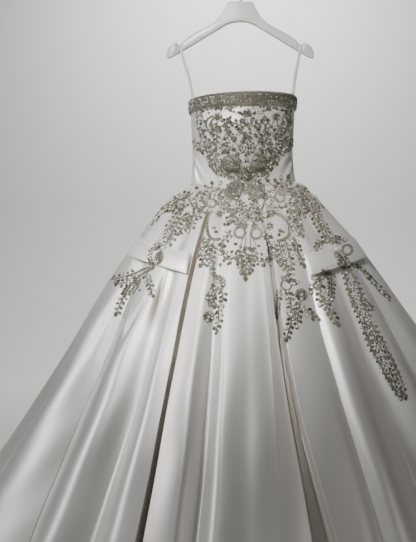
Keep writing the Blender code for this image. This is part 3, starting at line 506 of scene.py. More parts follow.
# The netting under closely sewn beads.
NETTING = dict(kind="Voronoi", output="Distance", Scale=420.0)
BEAD_GROUND, BAND_GROUND = (
    grained(name, colour, 0.5, NETTING, (1, 0.35), (0.1, 0.75), 0.6, 0.0006, metal=0.2)
    for name, colour in (("bead_ground", (0.26, 0.235, 0.18)), ("band_ground", (0.33, 0.30, 0.225))))
# A dark beige for stitched lines, which also stands for painted shade along the bow loops' edges.
THREAD_AND_EDGE_SHADE = surface("thread_beige_and_edge_shade", (0.36, 0.30, 0.21), 0.7)[0]
# Cut glass with silver backing and pearly seed beads: the face's tone, painted glints included, picks
# the colour.
CRYSTAL, crystal_tree, crystal_shader = surface(
    "crystal_beads_cut", (0.6, 0.58, 0.5), 0.30, metal=0.30, Specular_IOR_Level=0.6,
    Coat_Weight=0.22, Coat_Roughness=0.10)
BEAD_COLOURS = (
    (0.0, (0.022, 0.021, 0.018)), (0.26, (0.115, 0.112, 0.098)), (0.46, (0.38, 0.377, 0.345)),
    (0.62, (0.112, 0.096, 0.060)), (0.80, (0.38, 0.345, 0.245)), (1.0, (0.97, 0.98, 1.0)))
bead_tone_and_glint = shade(crystal_tree, "Attribute", attribute_name="bead_tone_and_glint").outputs["Fac"]
crystal_tree.links.new(ramp_of(crystal_tree, bead_tone_and_glint, BEAD_COLOURS),
                       crystal_shader.inputs["Base Color"])

# What the beads can lie on.
ground_points, ground_faces = [], []


def keep_ground(grid):
    """Adds a cloth's grid of points to what the beads can lie on."""
    rows, count = grid.shape[:2]
    start = len(ground_points)
    ground_points.extend(Vector(p) for p in grid.reshape(-1, 3))
    for r in range(rows - 1):
        for c in range(count - 1):
            a = start + r * count + c
            ground_faces.append((a, a + 1, a + count + 1, a + count))


def keep_mesh(piece):
    """Adds a piece's finished mesh to what the beads can lie on."""
    depsgraph = bpy.context.evaluated_depsgraph_get()
    mesh = piece.evaluated_get(depsgraph).to_mesh()
    start = len(ground_points)
    ground_points.extend(v.co.copy() for v in mesh.vertices)
    ground_faces.extend(tuple(start + k for k in face.vertices) for face in mesh.polygons)


def add_piece(name, mesh, material):
    """A piece of the gown or its hanger, made from a mesh."""
    mesh.materials.append(material)
    piece = bpy.data.objects.new(name, mesh)
    bpy.context.scene.collection.objects.link(piece)
    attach(piece, "root")
    return piece


def smooth_mesh(name, bm):
    bmesh.ops.recalc_face_normals(bm, faces=bm.faces)
    mesh = bpy.data.meshes.new(name)
    bm.to_mesh(mesh)
    bm.free()
    mesh.shade_smooth()
    return mesh


def grid_mesh(name, grid, material, thickness, shadow=None):
    """A thin closed cloth through a grid of points, thickened inwards."""
    rows, count = grid.shape[:2]
    bm = bmesh.new()
    bmesh.ops.create_grid(bm, x_segments=count - 1, y_segments=rows - 1, size=1)
    bm.verts.ensure_lookup_table()
    for k, vert in enumerate(bm.verts):
        vert.co = grid[k // count, k % count]
    piece = add_piece(name, smooth_mesh(name, bm), material)
    # The painted fold shade goes on the cloth as a point attribute.
    if shadow is not None:
        layer = piece.data.attributes.new("painted_fold_shade", "FLOAT", "POINT")
        layer.data.foreach_set("value", shadow.ravel())
    middle = piece.data.polygons[len(piece.data.polygons) // 2]
    outwards = Vector((middle.center.x, middle.center.y, 0)).dot(middle.normal) > 0
    if not outwards:
        piece.data.flip_normals()
    solid = piece.modifiers.new("thickness", "SOLIDIFY")
    solid.thickness, solid.offset = thickness, -1
    solid.use_even_offset = False
    return piece


def wrapped(grid, first, last):
    """Columns of a grid from first to last, drawn in by half a seam gap at both ends."""
    picked = [c % grid.shape[1] for c in range(first, last + 1)]
    part = grid[:, picked].copy()
    for place, beside in ((0, 1), (-1, -2)):
        along = part[:, beside] - part[:, place]
        along /= np.linalg.norm(along, axis=1)[:, None]
        part[:, place] += along * SEAM_GAP / 2
    return part


for gore in GORES:
    start, end = fold_column[gore.left_seam], fold_column[gore.right_seam]
    if end <= start:
        end += len(columns)
    part = wrapped(skirt_grid, start, end)
    shadow = painted_fold_shade[:, [c % len(columns) for c in range(start, end + 1)]]
    keep_ground(part)
    cloth = grid_mesh(gore.name + "_satin", part, SATIN, SHELL, shadow)
    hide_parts(gore.name)

# Bodice panels: soft drag lines run from the sides down to the waist bow.
Drape = namedtuple("Drape", "angle_from share_from angle_to share_to width height")
DRAPES = [Drape(*row) for row in (
    (-84, 0.58, -44, 0.93, 0.03, 0.0026),
    (-80, 0.66, -50, 0.98, 0.026, -0.0024),
    (-74, 0.7, -60, 1, 0.028, 0.0024),
    (-66, 0.52, -34, 0.86, 0.034, -0.0018),
    (-94, 0.5, -70, 0.96, 0.04, -0.002),
    (84, 0.52, 40, 0.86, 0.034, 0.003),
    (86, 0.62, 46, 0.95, 0.028, -0.0028),
    (80, 0.74, 50, 1, 0.028, 0.0024),
    (94, 0.48, 72, 0.94, 0.04, -0.002),
    (-120, 0.6, -96, 0.92, 0.04, 0.0016),
    (-150, 0.55, -118, 0.9, 0.04, -0.0016),
    (-176, 0.62, -146, 0.94, 0.04, 0.0014),
    (120, 0.6, 96, 0.92, 0.04, 0.0016),
    (150, 0.55, 118, 0.9, 0.04, -0.0016),
    (176, 0.62, 146, 0.94, 0.04, 0.0014),
)]
SHARE_DEGREES = 96.0
# Part of half a wave that a drag line takes, and how soon it eases in at the neck and the waist.
DRAPE_START, DRAPE_RUN = 0.08, 0.84
NECK_EASE, WAIST_EASE = 0.2, 0.06


def drapes_at(degrees, share):
    """Push of the bodice's drag lines, on a plan where a share of 1 is as long as 96 degrees."""
    push = np.zeros_like(degrees)
    for d in DRAPES:
        ax, ay = d.angle_to - d.angle_from, (d.share_to - d.share_from) * SHARE_DEGREES
        px, py = degrees - d.angle_from, (share - d.share_from) * SHARE_DEGREES
        long = ax * ax + ay * ay
        t = np.clip((px * ax + py * ay) / long, 0, 1)
        away = np.hypot(px - t * ax, py - t * ay) / SHARE_DEGREES
        swell = np.sin(math.pi * (DRAPE_START + DRAPE_RUN * t))
        push += d.height * swell * np.exp(-((away / d.width) ** 2))
    ease = rise(share / NECK_EASE) * rise((1 - share) / WAIST_EASE)
    return push * ease


BODICE_STEP = 1.2
BAND_STEP = 1.5
BODICE_DOWN = 80
for panel in BODICE_PANELS:
    parts = round((panel.right_top - panel.left_top) / BODICE_STEP)
    share = np.linspace(0, 1, BODICE_DOWN)[:, None] * np.ones((1, parts + 1))
    across = np.linspace(0, 1, parts + 1)[None, :] * np.ones((BODICE_DOWN, 1))
    slant = rise((share - SLANT_FROM) / (1 - SLANT_FROM))
    top = panel.left_top + (panel.right_top - panel.left_top) * across
    foot = panel.left_waist + (panel.right_waist - panel.left_waist) * across
    degrees = top + (foot - top) * slant
    part = bodice_points(np.radians(degrees), share, drapes_at(degrees, share))
    part = wrapped(part, 0, parts)
    keep_ground(part)
    cloth = grid_mesh(panel.name + "_satin", part, SATIN, SHELL)
    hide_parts(panel.name)


def copy_of(node, name, material, bevel=0.0, levels=0, angle=30):
    """A merged copy of a CAD node, with eased edges or rounded by subdivision."""
    bm = bmesh.new()
    bm.from_mesh(bpy.data.objects[node].data)
    bmesh.ops.remove_doubles(bm, verts=bm.verts, dist=1e-6)
    flat = [edge for edge in bm.edges if edge.is_manifold and edge.calc_face_angle(0) < 0.002]
    bmesh.ops.dissolve_edges(bm, edges=flat, use_verts=False)
    piece = add_piece(name, smooth_mesh(name, bm), material)
    if bevel:
        edge = piece.modifiers.new("eased_edges", "BEVEL")
        edge.width, edge.segments = bevel, 2
        edge.limit_method, edge.angle_limit = "ANGLE", math.radians(angle)
    if levels:
        round_off = piece.modifiers.new("rounded", "SUBSURF")
        round_off.levels = round_off.render_levels = levels
    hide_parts(node)
    return piece


copy_of("hanger_bar", "hanger_bar_painted", HANGER_WHITE, bevel=0.0011, angle=20)
copy_of("hanger_hook", "hanger_hook_wire", STEEL, levels=1)
copy_of("back_zip_pull", "zip_pull_steel", STEEL, bevel=0.0003)
tape = copy_of("back_zip_tape", "zip_tape_woven", RIBBON, bevel=0.0003)
for side in ("left", "right"):
    copy_of(f"hanger_loop_{side}", f"ribbon_loop_{side}", RIBBON, levels=1)

# Hip bows: loops of doubled satin, with the length of each cut strip.
LOOP_CUTS = {"left_inner": 0.195, "left_outer": 0.275, "right_inner": 0.225, "right_outer": 0.255}
for side_part, long in LOOP_CUTS.items():
    node = "hip_bow_" + side_part
    # The loops take the lighter bow satin: painted light.
    loop = copy_of(node, node + "_satin", BOW_SATIN_PAINTED_LIGHT, bevel=0.0006, angle=35)
    keep_mesh(loop)

for node in ("waist_bow_knot", "waist_bow_loop_left", "waist_bow_loop_right", "waist_bow_tail_left",
             "waist_bow_tail_right", "hip_bow_left_knot", "hip_bow_right_knot"):
    keep_mesh(copy_of(node, node + "_ground", BEAD_GROUND, levels=1))

# Neckline band: a softly domed strip on the bodice's own rows, by its depth below the top edge
# and how far it stands out.
BAND_CLOTH = 0.0006
BAND_SHAPE = ((-0.0006, 0.0006), (-0.0010, 0.0024), (0.0030, 0.0036), (0.0080, 0.0039),
              (0.0170, 0.0040), (0.0260, 0.0039), (0.0310, 0.0036), (0.0344, 0.0024), (0.0340, 0.0006))
BANDS = (("neckline_band_back_left", -180, -90), ("neckline_band_front", -90, 90),
         ("neckline_band_back_right", 90, 180))
BODICE_TALL = NECK_Z - WAIST_Z


def band_points(angle, down, out):
    """Points over the neckline band at a depth below its top edge and a distance from the bodice."""
    down = np.asarray(down)
    over = np.where(down < 0, -down, 0) + 0 * angle
    on_bodice = bodice_points(angle, np.clip(down / BODICE_TALL, 0, 1), out)
    return on_bodice + np.stack([0 * angle, 0 * angle, over], -1)


for node, start, end in BANDS:
    angle = np.radians(np.linspace(start, end, round((end - start) / BAND_STEP) + 1))[None, :]
    angle = angle * np.ones((len(BAND_SHAPE), 1))
    down = np.array([row[0] for row in BAND_SHAPE])[:, None] + 0 * angle
    out = np.array([row[1] for row in BAND_SHAPE])[:, None] + 0 * angle
    pad = grid_mesh(node + "_ground", wrapped(band_points(angle, down, out), 0, angle.shape[1] - 1),
                    BAND_GROUND, BAND_CLOTH)
    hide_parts(node)


# Beads: closed base shapes one unit long, with a tone for each face. Faces next to each
# other differ a little in tone: painted glints, standing in for the light that cut glass catches.
Bead = namedtuple("Bead", "points loops totals tones stone")
FACET_GLINT, FACET_TURN = 0.5, 2.4


def base_bead(bm, stone_faces=()):
    """Arrays of a base shape; stone_faces are those of the cut stone, the rest are its rim."""
    bmesh.ops.recalc_face_normals(bm, faces=bm.faces)
    faces = list(bm.faces)
    points = np.array([v.co[:] for v in bm.verts])
    loops = np.array([v.index for f in faces for v in f.verts])
    totals = np.array([len(f.verts) for f in faces])
    stone = np.array([f in stone_faces for f in faces])
    # Painted glints: a fixed lighter or darker share of tone for each face.
    facet = np.array([FACET_GLINT * math.cos(k * FACET_TURN) for k in range(len(faces))])
    bm.free()
    return Bead(points, loops, totals, facet, stone)


def cut_stone(segments, wide, pointed, tall, rim):
    """A stone in a raised beaded rim: round, oval or pointed at both ends."""
    bm = bmesh.new()
    bmesh.ops.create_cone(bm, cap_ends=True, segments=segments, radius1=0.5, radius2=0.46, depth=tall)
    bmesh.ops.translate(bm, verts=bm.verts, vec=(0, 0, tall / 2))
    top = max(bm.faces, key=lambda face: face.calc_center_median().z)
    bmesh.ops.inset_individual(bm, faces=[top], thickness=rim, depth=-tall * 0.25)
    facets = bmesh.ops.inset_individual(bm, faces=[top], thickness=0.13, depth=tall * 0.75)["faces"]
    for vert in bm.verts:
        x = min(1.0, abs(vert.co.x) * 2)
        vert.co.y *= wide * (1 - pointed * x**2)
    bm.verts.index_update()
    return base_bead(bm, {*facets, top})


def round_bead():
    bm = bmesh.new()
    bmesh.ops.create_icosphere(bm, subdivisions=1, radius=0.5)
    bmesh.ops.translate(bm, verts=bm.verts, vec=(0, 0, 0.30))
    bm.verts.index_update()
    return base_bead(bm)


def bugle_bead():
    bm = bmesh.new()
    bmesh.ops.create_cone(bm, cap_ends=True, segments=5, radius1=0.5, radius2=0.5, depth=1)
    bmesh.ops.rotate(bm, verts=bm.verts, matrix=Matrix.Rotation(math.pi / 2, 3, "Y"))
    for vert in bm.verts:
        vert.co.y *= 0.36
        vert.co.z = vert.co.z * 0.34 + 0.15
    bm.verts.index_update()
    return base_bead(bm)


BEADS = {
    "leaf": cut_stone(8, 0.74, 0.30, 0.20, 0.16),
    "drop": cut_stone(8, 0.66, 0.15, 0.22, 0.13),
    "stone": cut_stone(8, 1.0, 0.0, 0.34, 0.14),
    "seed": round_bead(),
    "bugle": bugle_bead(),
}
RIM_TONE, DARK, SMOKE, SILVER, GOLD, CREAM, CLEAR = 0.64, 0.04, 0.26, 0.46, 0.60, 0.80, 1.0
CORD_TONE = GOLD + 0.08
# How often each stone and seed bead comes up in a bed, and a bugle bead's length and lane in squares.
LEAF_SHARE, STONE_SHARE = 0.66, 0.14
SEED_TONES, SEED_MIX = (GOLD, CREAM, SILVER, CLEAR), (0.5, 0.22, 0.2, 0.08)
BUGLE_LONG, BUGLE_LANE = 2.0, 0.99
# How much the painted glints shift tones on a stone, its rim and a seed bead, and how edge-on cloth may
# be seen.
STONE_SPREAD, RIM_SPREAD, SEED_SPREAD = 0.42, 0.16, 0.10
EDGE_ON = 0.15
rng = np.random.default_rng(7)

# The front chart: squares of 2.9 mm, seen from the camera's place. A bead drawn on a
# square lies on whatever cloth the eye sees there.
SQUARE = 0.0029
CHART_COLUMN, CHART_ROW = 240.3, 271.0
EYE = Vector((0, CAMERA_Y, CAMERA_Z))
ground = BVHTree.FromPolygons(ground_points, ground_faces)


def way_to(column, row):
    """The line from the eye to a chart square."""
    return Vector(((column - CHART_COLUMN) * SQUARE, -CAMERA_Y, (CHART_ROW - row) * SQUARE))


def sight(column, row):
    """The place that a chart square meets on the cloth and its direction towards the eye, or None."""
    way = way_to(column, row).normalized()
    place, normal, *_ = ground.ray_cast(EYE, way)
    if place is None:
        return None
    if normal.dot(way) > 0:
        normal = -normal
    return place, normal


STONE_TONES = (DARK, SMOKE, SILVER, GOLD, CLEAR)
BRIGHT_MIX = (0.16, 0.27, 0.27, 0.04, 0.26)
DEEP_MIX = (0.24, 0.35, 0.23, 0.06, 0.12)


class Sewing:
    """Beads gathered for one joined piece, with the shares of its stones' tones."""

    def __init__(self, mix=BRIGHT_MIX):
        self.laid = {kind: [] for kind in BEADS}
        self.mix = mix

    def stone_tone(self):
        return rng.choice(STONE_TONES, p=self.mix)

    def lay(self, kind, column, row, turn, long, tone, wide=1.0, lift=0.0):
        """One bead on a chart square: its turn in degrees, clockwise from the right, and its
        length in squares."""
        hit = sight(column, row)
        if hit is None:
            return
        place, normal = hit
        way = way_to(*moved(column, row, math.radians(turn), 0.5))
        slope = way.dot(normal)
        if abs(slope) < EDGE_ON * way.length:
            return
        along = EYE + way * ((place - EYE).dot(normal) / slope) - place
        along = along.normalized()
        self.put(kind, place, along, normal, long * SQUARE, tone, wide, lift)

    def put(self, kind, place, along, normal, long, tone, wide=1.0, lift=0.0):
        self.laid[kind].append((*place, *along, *normal, long, tone, wide, lift))

    def piece(self, name, material=CRYSTAL, slot="crystal_beads"):
        """Joins the beads into one mesh with its tones."""
        points, loops, totals, tones, count = [], [], [], [], 0
        for kind, rows in self.laid.items():
            if not rows:
                continue
            base, rows = BEADS[kind], np.array(rows)
            place, along, normal = rows[:, 0:3], rows[:, 3:6], rows[:, 6:9]
            long, tone, wide, lift = rows[:, 9], rows[:, 10], rows[:, 11], rows[:, 12]
            side = np.cross(normal, along)
            spot = base.points
            ahead = spot[None, :, 0:1] * along[:, None]
            aside = spot[None, :, 1:2] * (side * wide[:, None])[:, None]
            above = (spot[None, :, 2:3] + lift[:, None, None]) * normal[:, None]
            world = place[:, None] + long[:, None, None] * (ahead + aside + above)
            points.append(world.reshape(-1, 3))
            offset = count + np.arange(len(rows)) * len(spot)
            loops.append((base.loops[None] + offset[:, None]).ravel())
            totals.append(np.tile(base.totals, len(rows)))
            own = np.where(base.stone[None], tone[:, None], RIM_TONE)
            if kind in ("seed", "bugle"):
                own = np.repeat(tone[:, None], len(base.totals), 1)
            # Painted glints: each face's tone moves by its glint share, most on a stone's cut faces.
            spread = np.where(base.stone[None], STONE_SPREAD, RIM_SPREAD)
            if kind == "seed":
                spread = SEED_SPREAD
            tones.append((own + base.tones[None] * spread).ravel())
            count += len(world.reshape(-1, 3))
        points, loops, totals = np.concatenate(points), np.concatenate(loops), np.concatenate(totals)
        mesh = bpy.data.meshes.new(name)
        mesh.vertices.add(len(points))
        mesh.vertices.foreach_set("co", points.ravel())
        mesh.loops.add(len(loops))
        mesh.loops.foreach_set("vertex_index", loops)
        mesh.polygons.add(len(totals))
        mesh.polygons.foreach_set("loop_start", np.concatenate([[0], np.cumsum(totals)[:-1]]))
        mesh.update(calc_edges=True)
        mesh.validate()
        layer = mesh.attributes.new("bead_tone_and_glint", "FLOAT", "FACE")
        layer.data.foreach_set("value", np.clip(np.concatenate(tones), 0, 1))
        mesh.shade_flat()
        add_piece(name, mesh, material)


def moved(column, row, angle, ahead, aside=0.0):
    """The chart place that lies ahead of and to the right of another, at an angle in radians."""
    return (column - math.sin(angle) * aside + math.cos(angle) * ahead,
            row + math.cos(angle) * aside + math.sin(angle) * ahead)


PATH_STEP = 0.4


def smooth_path(points):
    """Close points along a smooth line through chart points."""
    points = np.array(points, float)
    if len(points) == 2:
        count = max(2, int(np.hypot(*(points[1] - points[0])) / PATH_STEP))
        return points[0] + (points[1] - points[0]) * np.linspace(0, 1, count)[:, None]
    ends = np.vstack([2 * points[0] - points[1], points, 2 * points[-1] - points[-2]])
    line = []
    for k in range(1, len(ends) - 2):
        a, b, c, d = ends[k - 1:k + 3]
        count = max(2, int(np.hypot(*(c - b)) / PATH_STEP))
        t = np.linspace(0, 1, count, endpoint=False)[:, None]
        line.append(0.5 * (2 * b + (c - a) * t + (2 * a - 5 * b + 4 * c - d) * t**2
                           + (3 * b - a - 3 * c + d) * t**3))
    return np.vstack([*line, points[-1:]])


LONGEST_STEP = 3 * PATH_STEP * SQUARE


def stations(points, spacing):
    """Chart places, turns and shares at equal real distances along a path on the cloth."""
    seen = [(spot, sight(*spot)) for spot in smooth_path(points)]
    seen = [(spot, hit[0]) for spot, hit in seen if hit]
    if len(seen) < 2:
        return []
    columns, rows = np.array([spot for spot, _ in seen]).T
    steps = [min((b - a).length, LONGEST_STEP) for (_, a), (_, b) in zip(seen, seen[1:])]
    run = np.concatenate([[0], np.cumsum(steps)])
    count = max(1, round(run[-1] / (spacing * SQUARE)))
    at = np.linspace(0, run[-1], count + 1)
    ahead, behind = np.minimum(at + SQUARE / 2, run[-1]), np.maximum(at - SQUARE / 2, 0)
    level, upright = (np.interp(ahead, run, line) - np.interp(behind, run, line)
                      for line in (columns, rows))
    turn = np.degrees(np.arctan2(upright, level))
    return list(zip(np.interp(at, run, columns), np.interp(at, run, rows), turn, at / run[-1]))


# Seed beads overlap a little: their spacing as a share of their size.
CLOSE = 0.95


def cord(work, points, rows=1, tone=CORD_TONE, size=1.15):
    """Rows of seed beads side by side along a path."""
    for column, row, turn, _ in stations(points, size * CLOSE):
        for k in range(rows):
            off = (k - (rows - 1) / 2) * size * CLOSE
            work.lay("seed", *moved(column, row, math.radians(turn), 0, off), turn, size * 1.05,
                     tone + rng.uniform(-0.12, 0.10))


def vine(work, points, leaf=5.0, every=2.5, out=2.7):
    """A seed-bead stem with framed stones as leaves, on one side and the other in turn."""
    cord(work, points, size=1.7)
    side = 1
    places = stations(points, every)
    for column, row, turn, share in places[1:]:
        long = leaf * rng.uniform(0.85, 1.12) * (1.0 - 0.15 * share)
        reach = out * rng.uniform(0.85, 1.15)
        work.lay("leaf", *moved(column, row, math.radians(turn + side * 90), reach),
                 turn + side * rng.uniform(35, 62), long, work.stone_tone())
        side = -side
    column, row, turn, _ = places[-1]
    work.lay("leaf", *moved(column, row, math.radians(turn), leaf * 0.6), turn, leaf * 1.15,
             work.stone_tone())


def ring(work, spot, rows=2, stone=0.0, tall=1.0, gaps=(0, 360)):
    """Rings of seed beads (column, row, radius), with a middle stone where it has a size."""
    column, row, radius = spot
    start, sweep = math.radians(gaps[0]), math.radians(gaps[1] - gaps[0])
    for k in range(rows):
        reach = radius - k * CLOSE
        count = max(3, round(sweep * reach / 0.92))
        for j in range(count):
            angle = start + sweep * j / count
            work.lay("seed", column + math.cos(angle) * reach, row + math.sin(angle) * reach * tall,
                     math.degrees(angle) + 90, 1.05, CORD_TONE + rng.uniform(-0.12, 0.14))
    if stone:
        work.lay("stone", column, row, 0, stone, work.stone_tone())


def framed(work, spot, leaf=4.2):
    """A single framed stone: column, row, turn in degrees and tone."""
    column, row, turn, tone = spot
    work.lay("leaf", column, row, turn, leaf * rng.uniform(0.9, 1.1), tone)


def single(work, spot, kind="leaf", wide=1.0, lift=0.0):
    """A bead: column, row, turn, length, and tone or None for one of the mix."""
    column, row, turn, long, tone = spot
    work.lay(kind, column, row, turn, long, work.stone_tone() if tone is None else tone, wide, lift)


def sprig(work, spot):
    """Three leaves on a short stem of seed beads: column, row and turn."""
    column, row, turn = spot
    for off, long in ((-30, 3.7), (0, 4.3), (30, 3.7)):
        work.lay("leaf", *moved(column, row, math.radians(turn + off), 2.9), turn + off, long,
                 work.stone_tone())
    for step in range(4):
        work.lay("seed", *moved(column, row, math.radians(turn), -step * 0.9), turn, 1.2, GOLD)


def stitches(work, points):
    """Thread stitches, end to end, which also stand for painted shade along folded edges."""
    for column, row, turn, _ in stations(points, 1.15):
        work.lay("bugle", column, row, turn, 1.0, GOLD, wide=0.7, lift=-0.05)


def oval(column, row, long, wide, turn):
    """Chart points of a closed oval."""
    rounds = [math.tau * k / 16 for k in range(17)]
    return [moved(column, row, math.radians(turn), math.cos(a) * long, math.sin(a) * wide)
            for a in rounds]


def rose(work, spot):
    """Framed stones round a middle stone, with small beads: column, row, radius and petals."""
    column, row, radius, petals = spot
    for j in range(petals):
        angle = math.tau * j / petals + 0.3
        work.lay("leaf", *moved(column, row, angle, radius * 0.62), math.degrees(angle),
                 radius * 0.72, work.stone_tone())
        for far in (0.34, 1.0):
            work.lay("seed", *moved(column, row, angle + 0.39, radius * far), 0, 1.1, GOLD)
    work.lay("stone", column, row, 0, radius * 0.5, work.stone_tone())


def fanned(toward, spread, count):
    """Turns in radians that fan out evenly about a turn in degrees."""
    return [math.radians(toward + (j / max(1, count - 1) - 0.5) * spread) for j in range(count)]


def fan(work, spot):
    """Leaves on stems: column, row, middle turn, spread, leaves, stem's reach and leaf's length."""
    column, row, toward, spread, count, near, leaf = spot
    for j, angle in enumerate(fanned(toward, spread, count)):
        reach = near * (1.0 + 0.16 * math.cos(j * 2.3))
        work.lay("leaf", *moved(column, row, angle, reach), math.degrees(angle), leaf,
                 work.stone_tone())
        cord(work, [(column, row), moved(column, row, angle, reach - leaf * 0.5)])


def strokes(work, spot):
    """Rows of bugle beads side by side: column, row, middle turn, spread, rows and length."""
    column, row, toward, spread, count, long = spot
    for j, angle in enumerate(fanned(toward, spread, count)):
        away = (j - (count - 1) / 2) * BUGLE_LANE
        for share in np.arange(0.5, long / BUGLE_LONG):
            work.lay("bugle", *moved(column, row, angle, share * BUGLE_LONG, away),
                     math.degrees(angle), BUGLE_LONG, GOLD + 0.1 + rng.uniform(-0.15, 0.15))


def bed(work, points, wide, density=1.0, leaf=4.3):
    """A closely sewn bed of leaves, stones and seeds along a path: (column, row, width)."""
    widths = [p[2] if len(p) > 2 else wide for p in points]
    taken = []
    for column, row, turn, share in stations([p[:2] for p in points], 2.1 / density):
        width = float(np.interp(share, np.linspace(0, 1, len(widths)), widths))
        lanes = max(1, round(width / 2.8 * density))
        angle = math.radians(turn)
        for lane in range(lanes):
            off = ((lane + 0.5) / lanes - 0.5) * width + rng.uniform(-0.45, 0.45)
            spot = moved(column, row, angle, rng.uniform(-0.7, 0.7), off)
            if any(abs(spot[0] - x) + abs(spot[1] - y) < 2.4 / density for x, y in taken[-40:]):
                continue
            taken.append(spot)
            pick = rng.random()
            lean = turn + off / max(width, 1) * 120 + rng.uniform(-30, 30)
            if pick < LEAF_SHARE:
                work.lay("leaf", *spot, lean, leaf * rng.uniform(0.8, 1.15), work.stone_tone())
            elif pick < LEAF_SHARE + STONE_SHARE:
                work.lay("stone", *spot, lean, 2.3 * rng.uniform(0.8, 1.2), work.stone_tone())
            else:
                work.lay("drop", *spot, lean, 3.0, work.stone_tone())
        for _ in range(max(1, round(width * 0.55 * density))):
            off = rng.uniform(-0.5, 0.5) * width * 1.12
            spot = moved(column, row, angle, rng.uniform(-1, 1), off)
            work.lay("seed", *spot, 0, rng.uniform(0.8, 1.1), rng.choice(SEED_TONES, p=SEED_MIX))


# Neckline band beads: rows of small stones between edges of seed beads, all the way round.
band_work = [Sewing() for _ in BANDS]
BandBead = namedtuple("BandBead", "down out kind size gap tone")
LEAF_LEAN = 55
BAND_BEADS = [BandBead(*row) for row in (
    (-0.001, 0.0008, "seed", 1.1, 1.06, GOLD + 0.1),
    (0.0022, 0.0036, "seed", 1.05, 1.06, GOLD),
    (0.0068, 0.0039, "leaf", 2.6, 1.9, None),
    (0.0125, 0.004, "stone", 1.9, 1.85, None),
    (0.018, 0.004, "leaf", 2.6, 1.9, None),
    (0.0235, 0.004, "stone", 1.8, 1.75, None),
    (0.0275, 0.0038, "seed", 1.1, 1.04, SILVER),
    (0.0306, 0.0036, "seed", 1.15, 1.06, GOLD + 0.1),
    (0.0338, 0.0026, "seed", 1.25, 1.12, CREAM),
)]
for row in BAND_BEADS:
    track = np.radians(np.linspace(-180, 180, 721))
    line = band_points(track, row.down + 0 * track, row.out + 0 * track)
    run = np.concatenate([[0], np.cumsum(np.linalg.norm(np.diff(line, axis=0), axis=1))])
    count = round(run[-1] / (row.gap * SQUARE))
    angles = np.interp((np.arange(count) + 0.5) * run[-1] / count, run, track)
    for k, angle in enumerate(angles):
        nudge = rng.uniform(-0.0004, 0.0004)
        spot = band_points(np.array([angle]), np.array([row.down + nudge]), np.array([row.out]))[0]
        beside = band_points(np.array([angle + 0.01]), np.array([row.down]), np.array([row.out]))[0]
        along = Vector(beside - spot).normalized()
        *_, outwards = section(np.array([angle]), *BODICE_ROWS[0][1:])
        normal = Vector(outwards[0])
        if row.down < 0:
            normal = (normal + Vector((0, 0, 2))).normalized()
        if row.kind == "leaf":
            lean = math.radians((LEAF_LEAN if k % 2 else -LEAF_LEAN) + rng.uniform(-12, 12))
            along = along * math.cos(lean) + normal.cross(along) * math.sin(lean)
        tone = band_work[1].stone_tone() if row.tone is None else row.tone + rng.uniform(-0.15, 0.12)
        which = 0 if angle < -math.pi / 2 else 1 if angle < math.pi / 2 else 2
        band_work[which].put(row.kind, spot, along, normal, row.size * SQUARE, tone)
for work, (node, *_) in zip(band_work, BANDS):
    work.piece(node + "_beads")


def sew(name, design, mix=BRIGHT_MIX, **finish):
    """A joined piece from a design: rows of a motif, its spots on the front chart and its look."""
    work = Sewing(mix)
    for motif, spots, *look in design:
        for spot in spots:
            motif(work, spot, **dict(*look))
    work.piece(name, **finish)


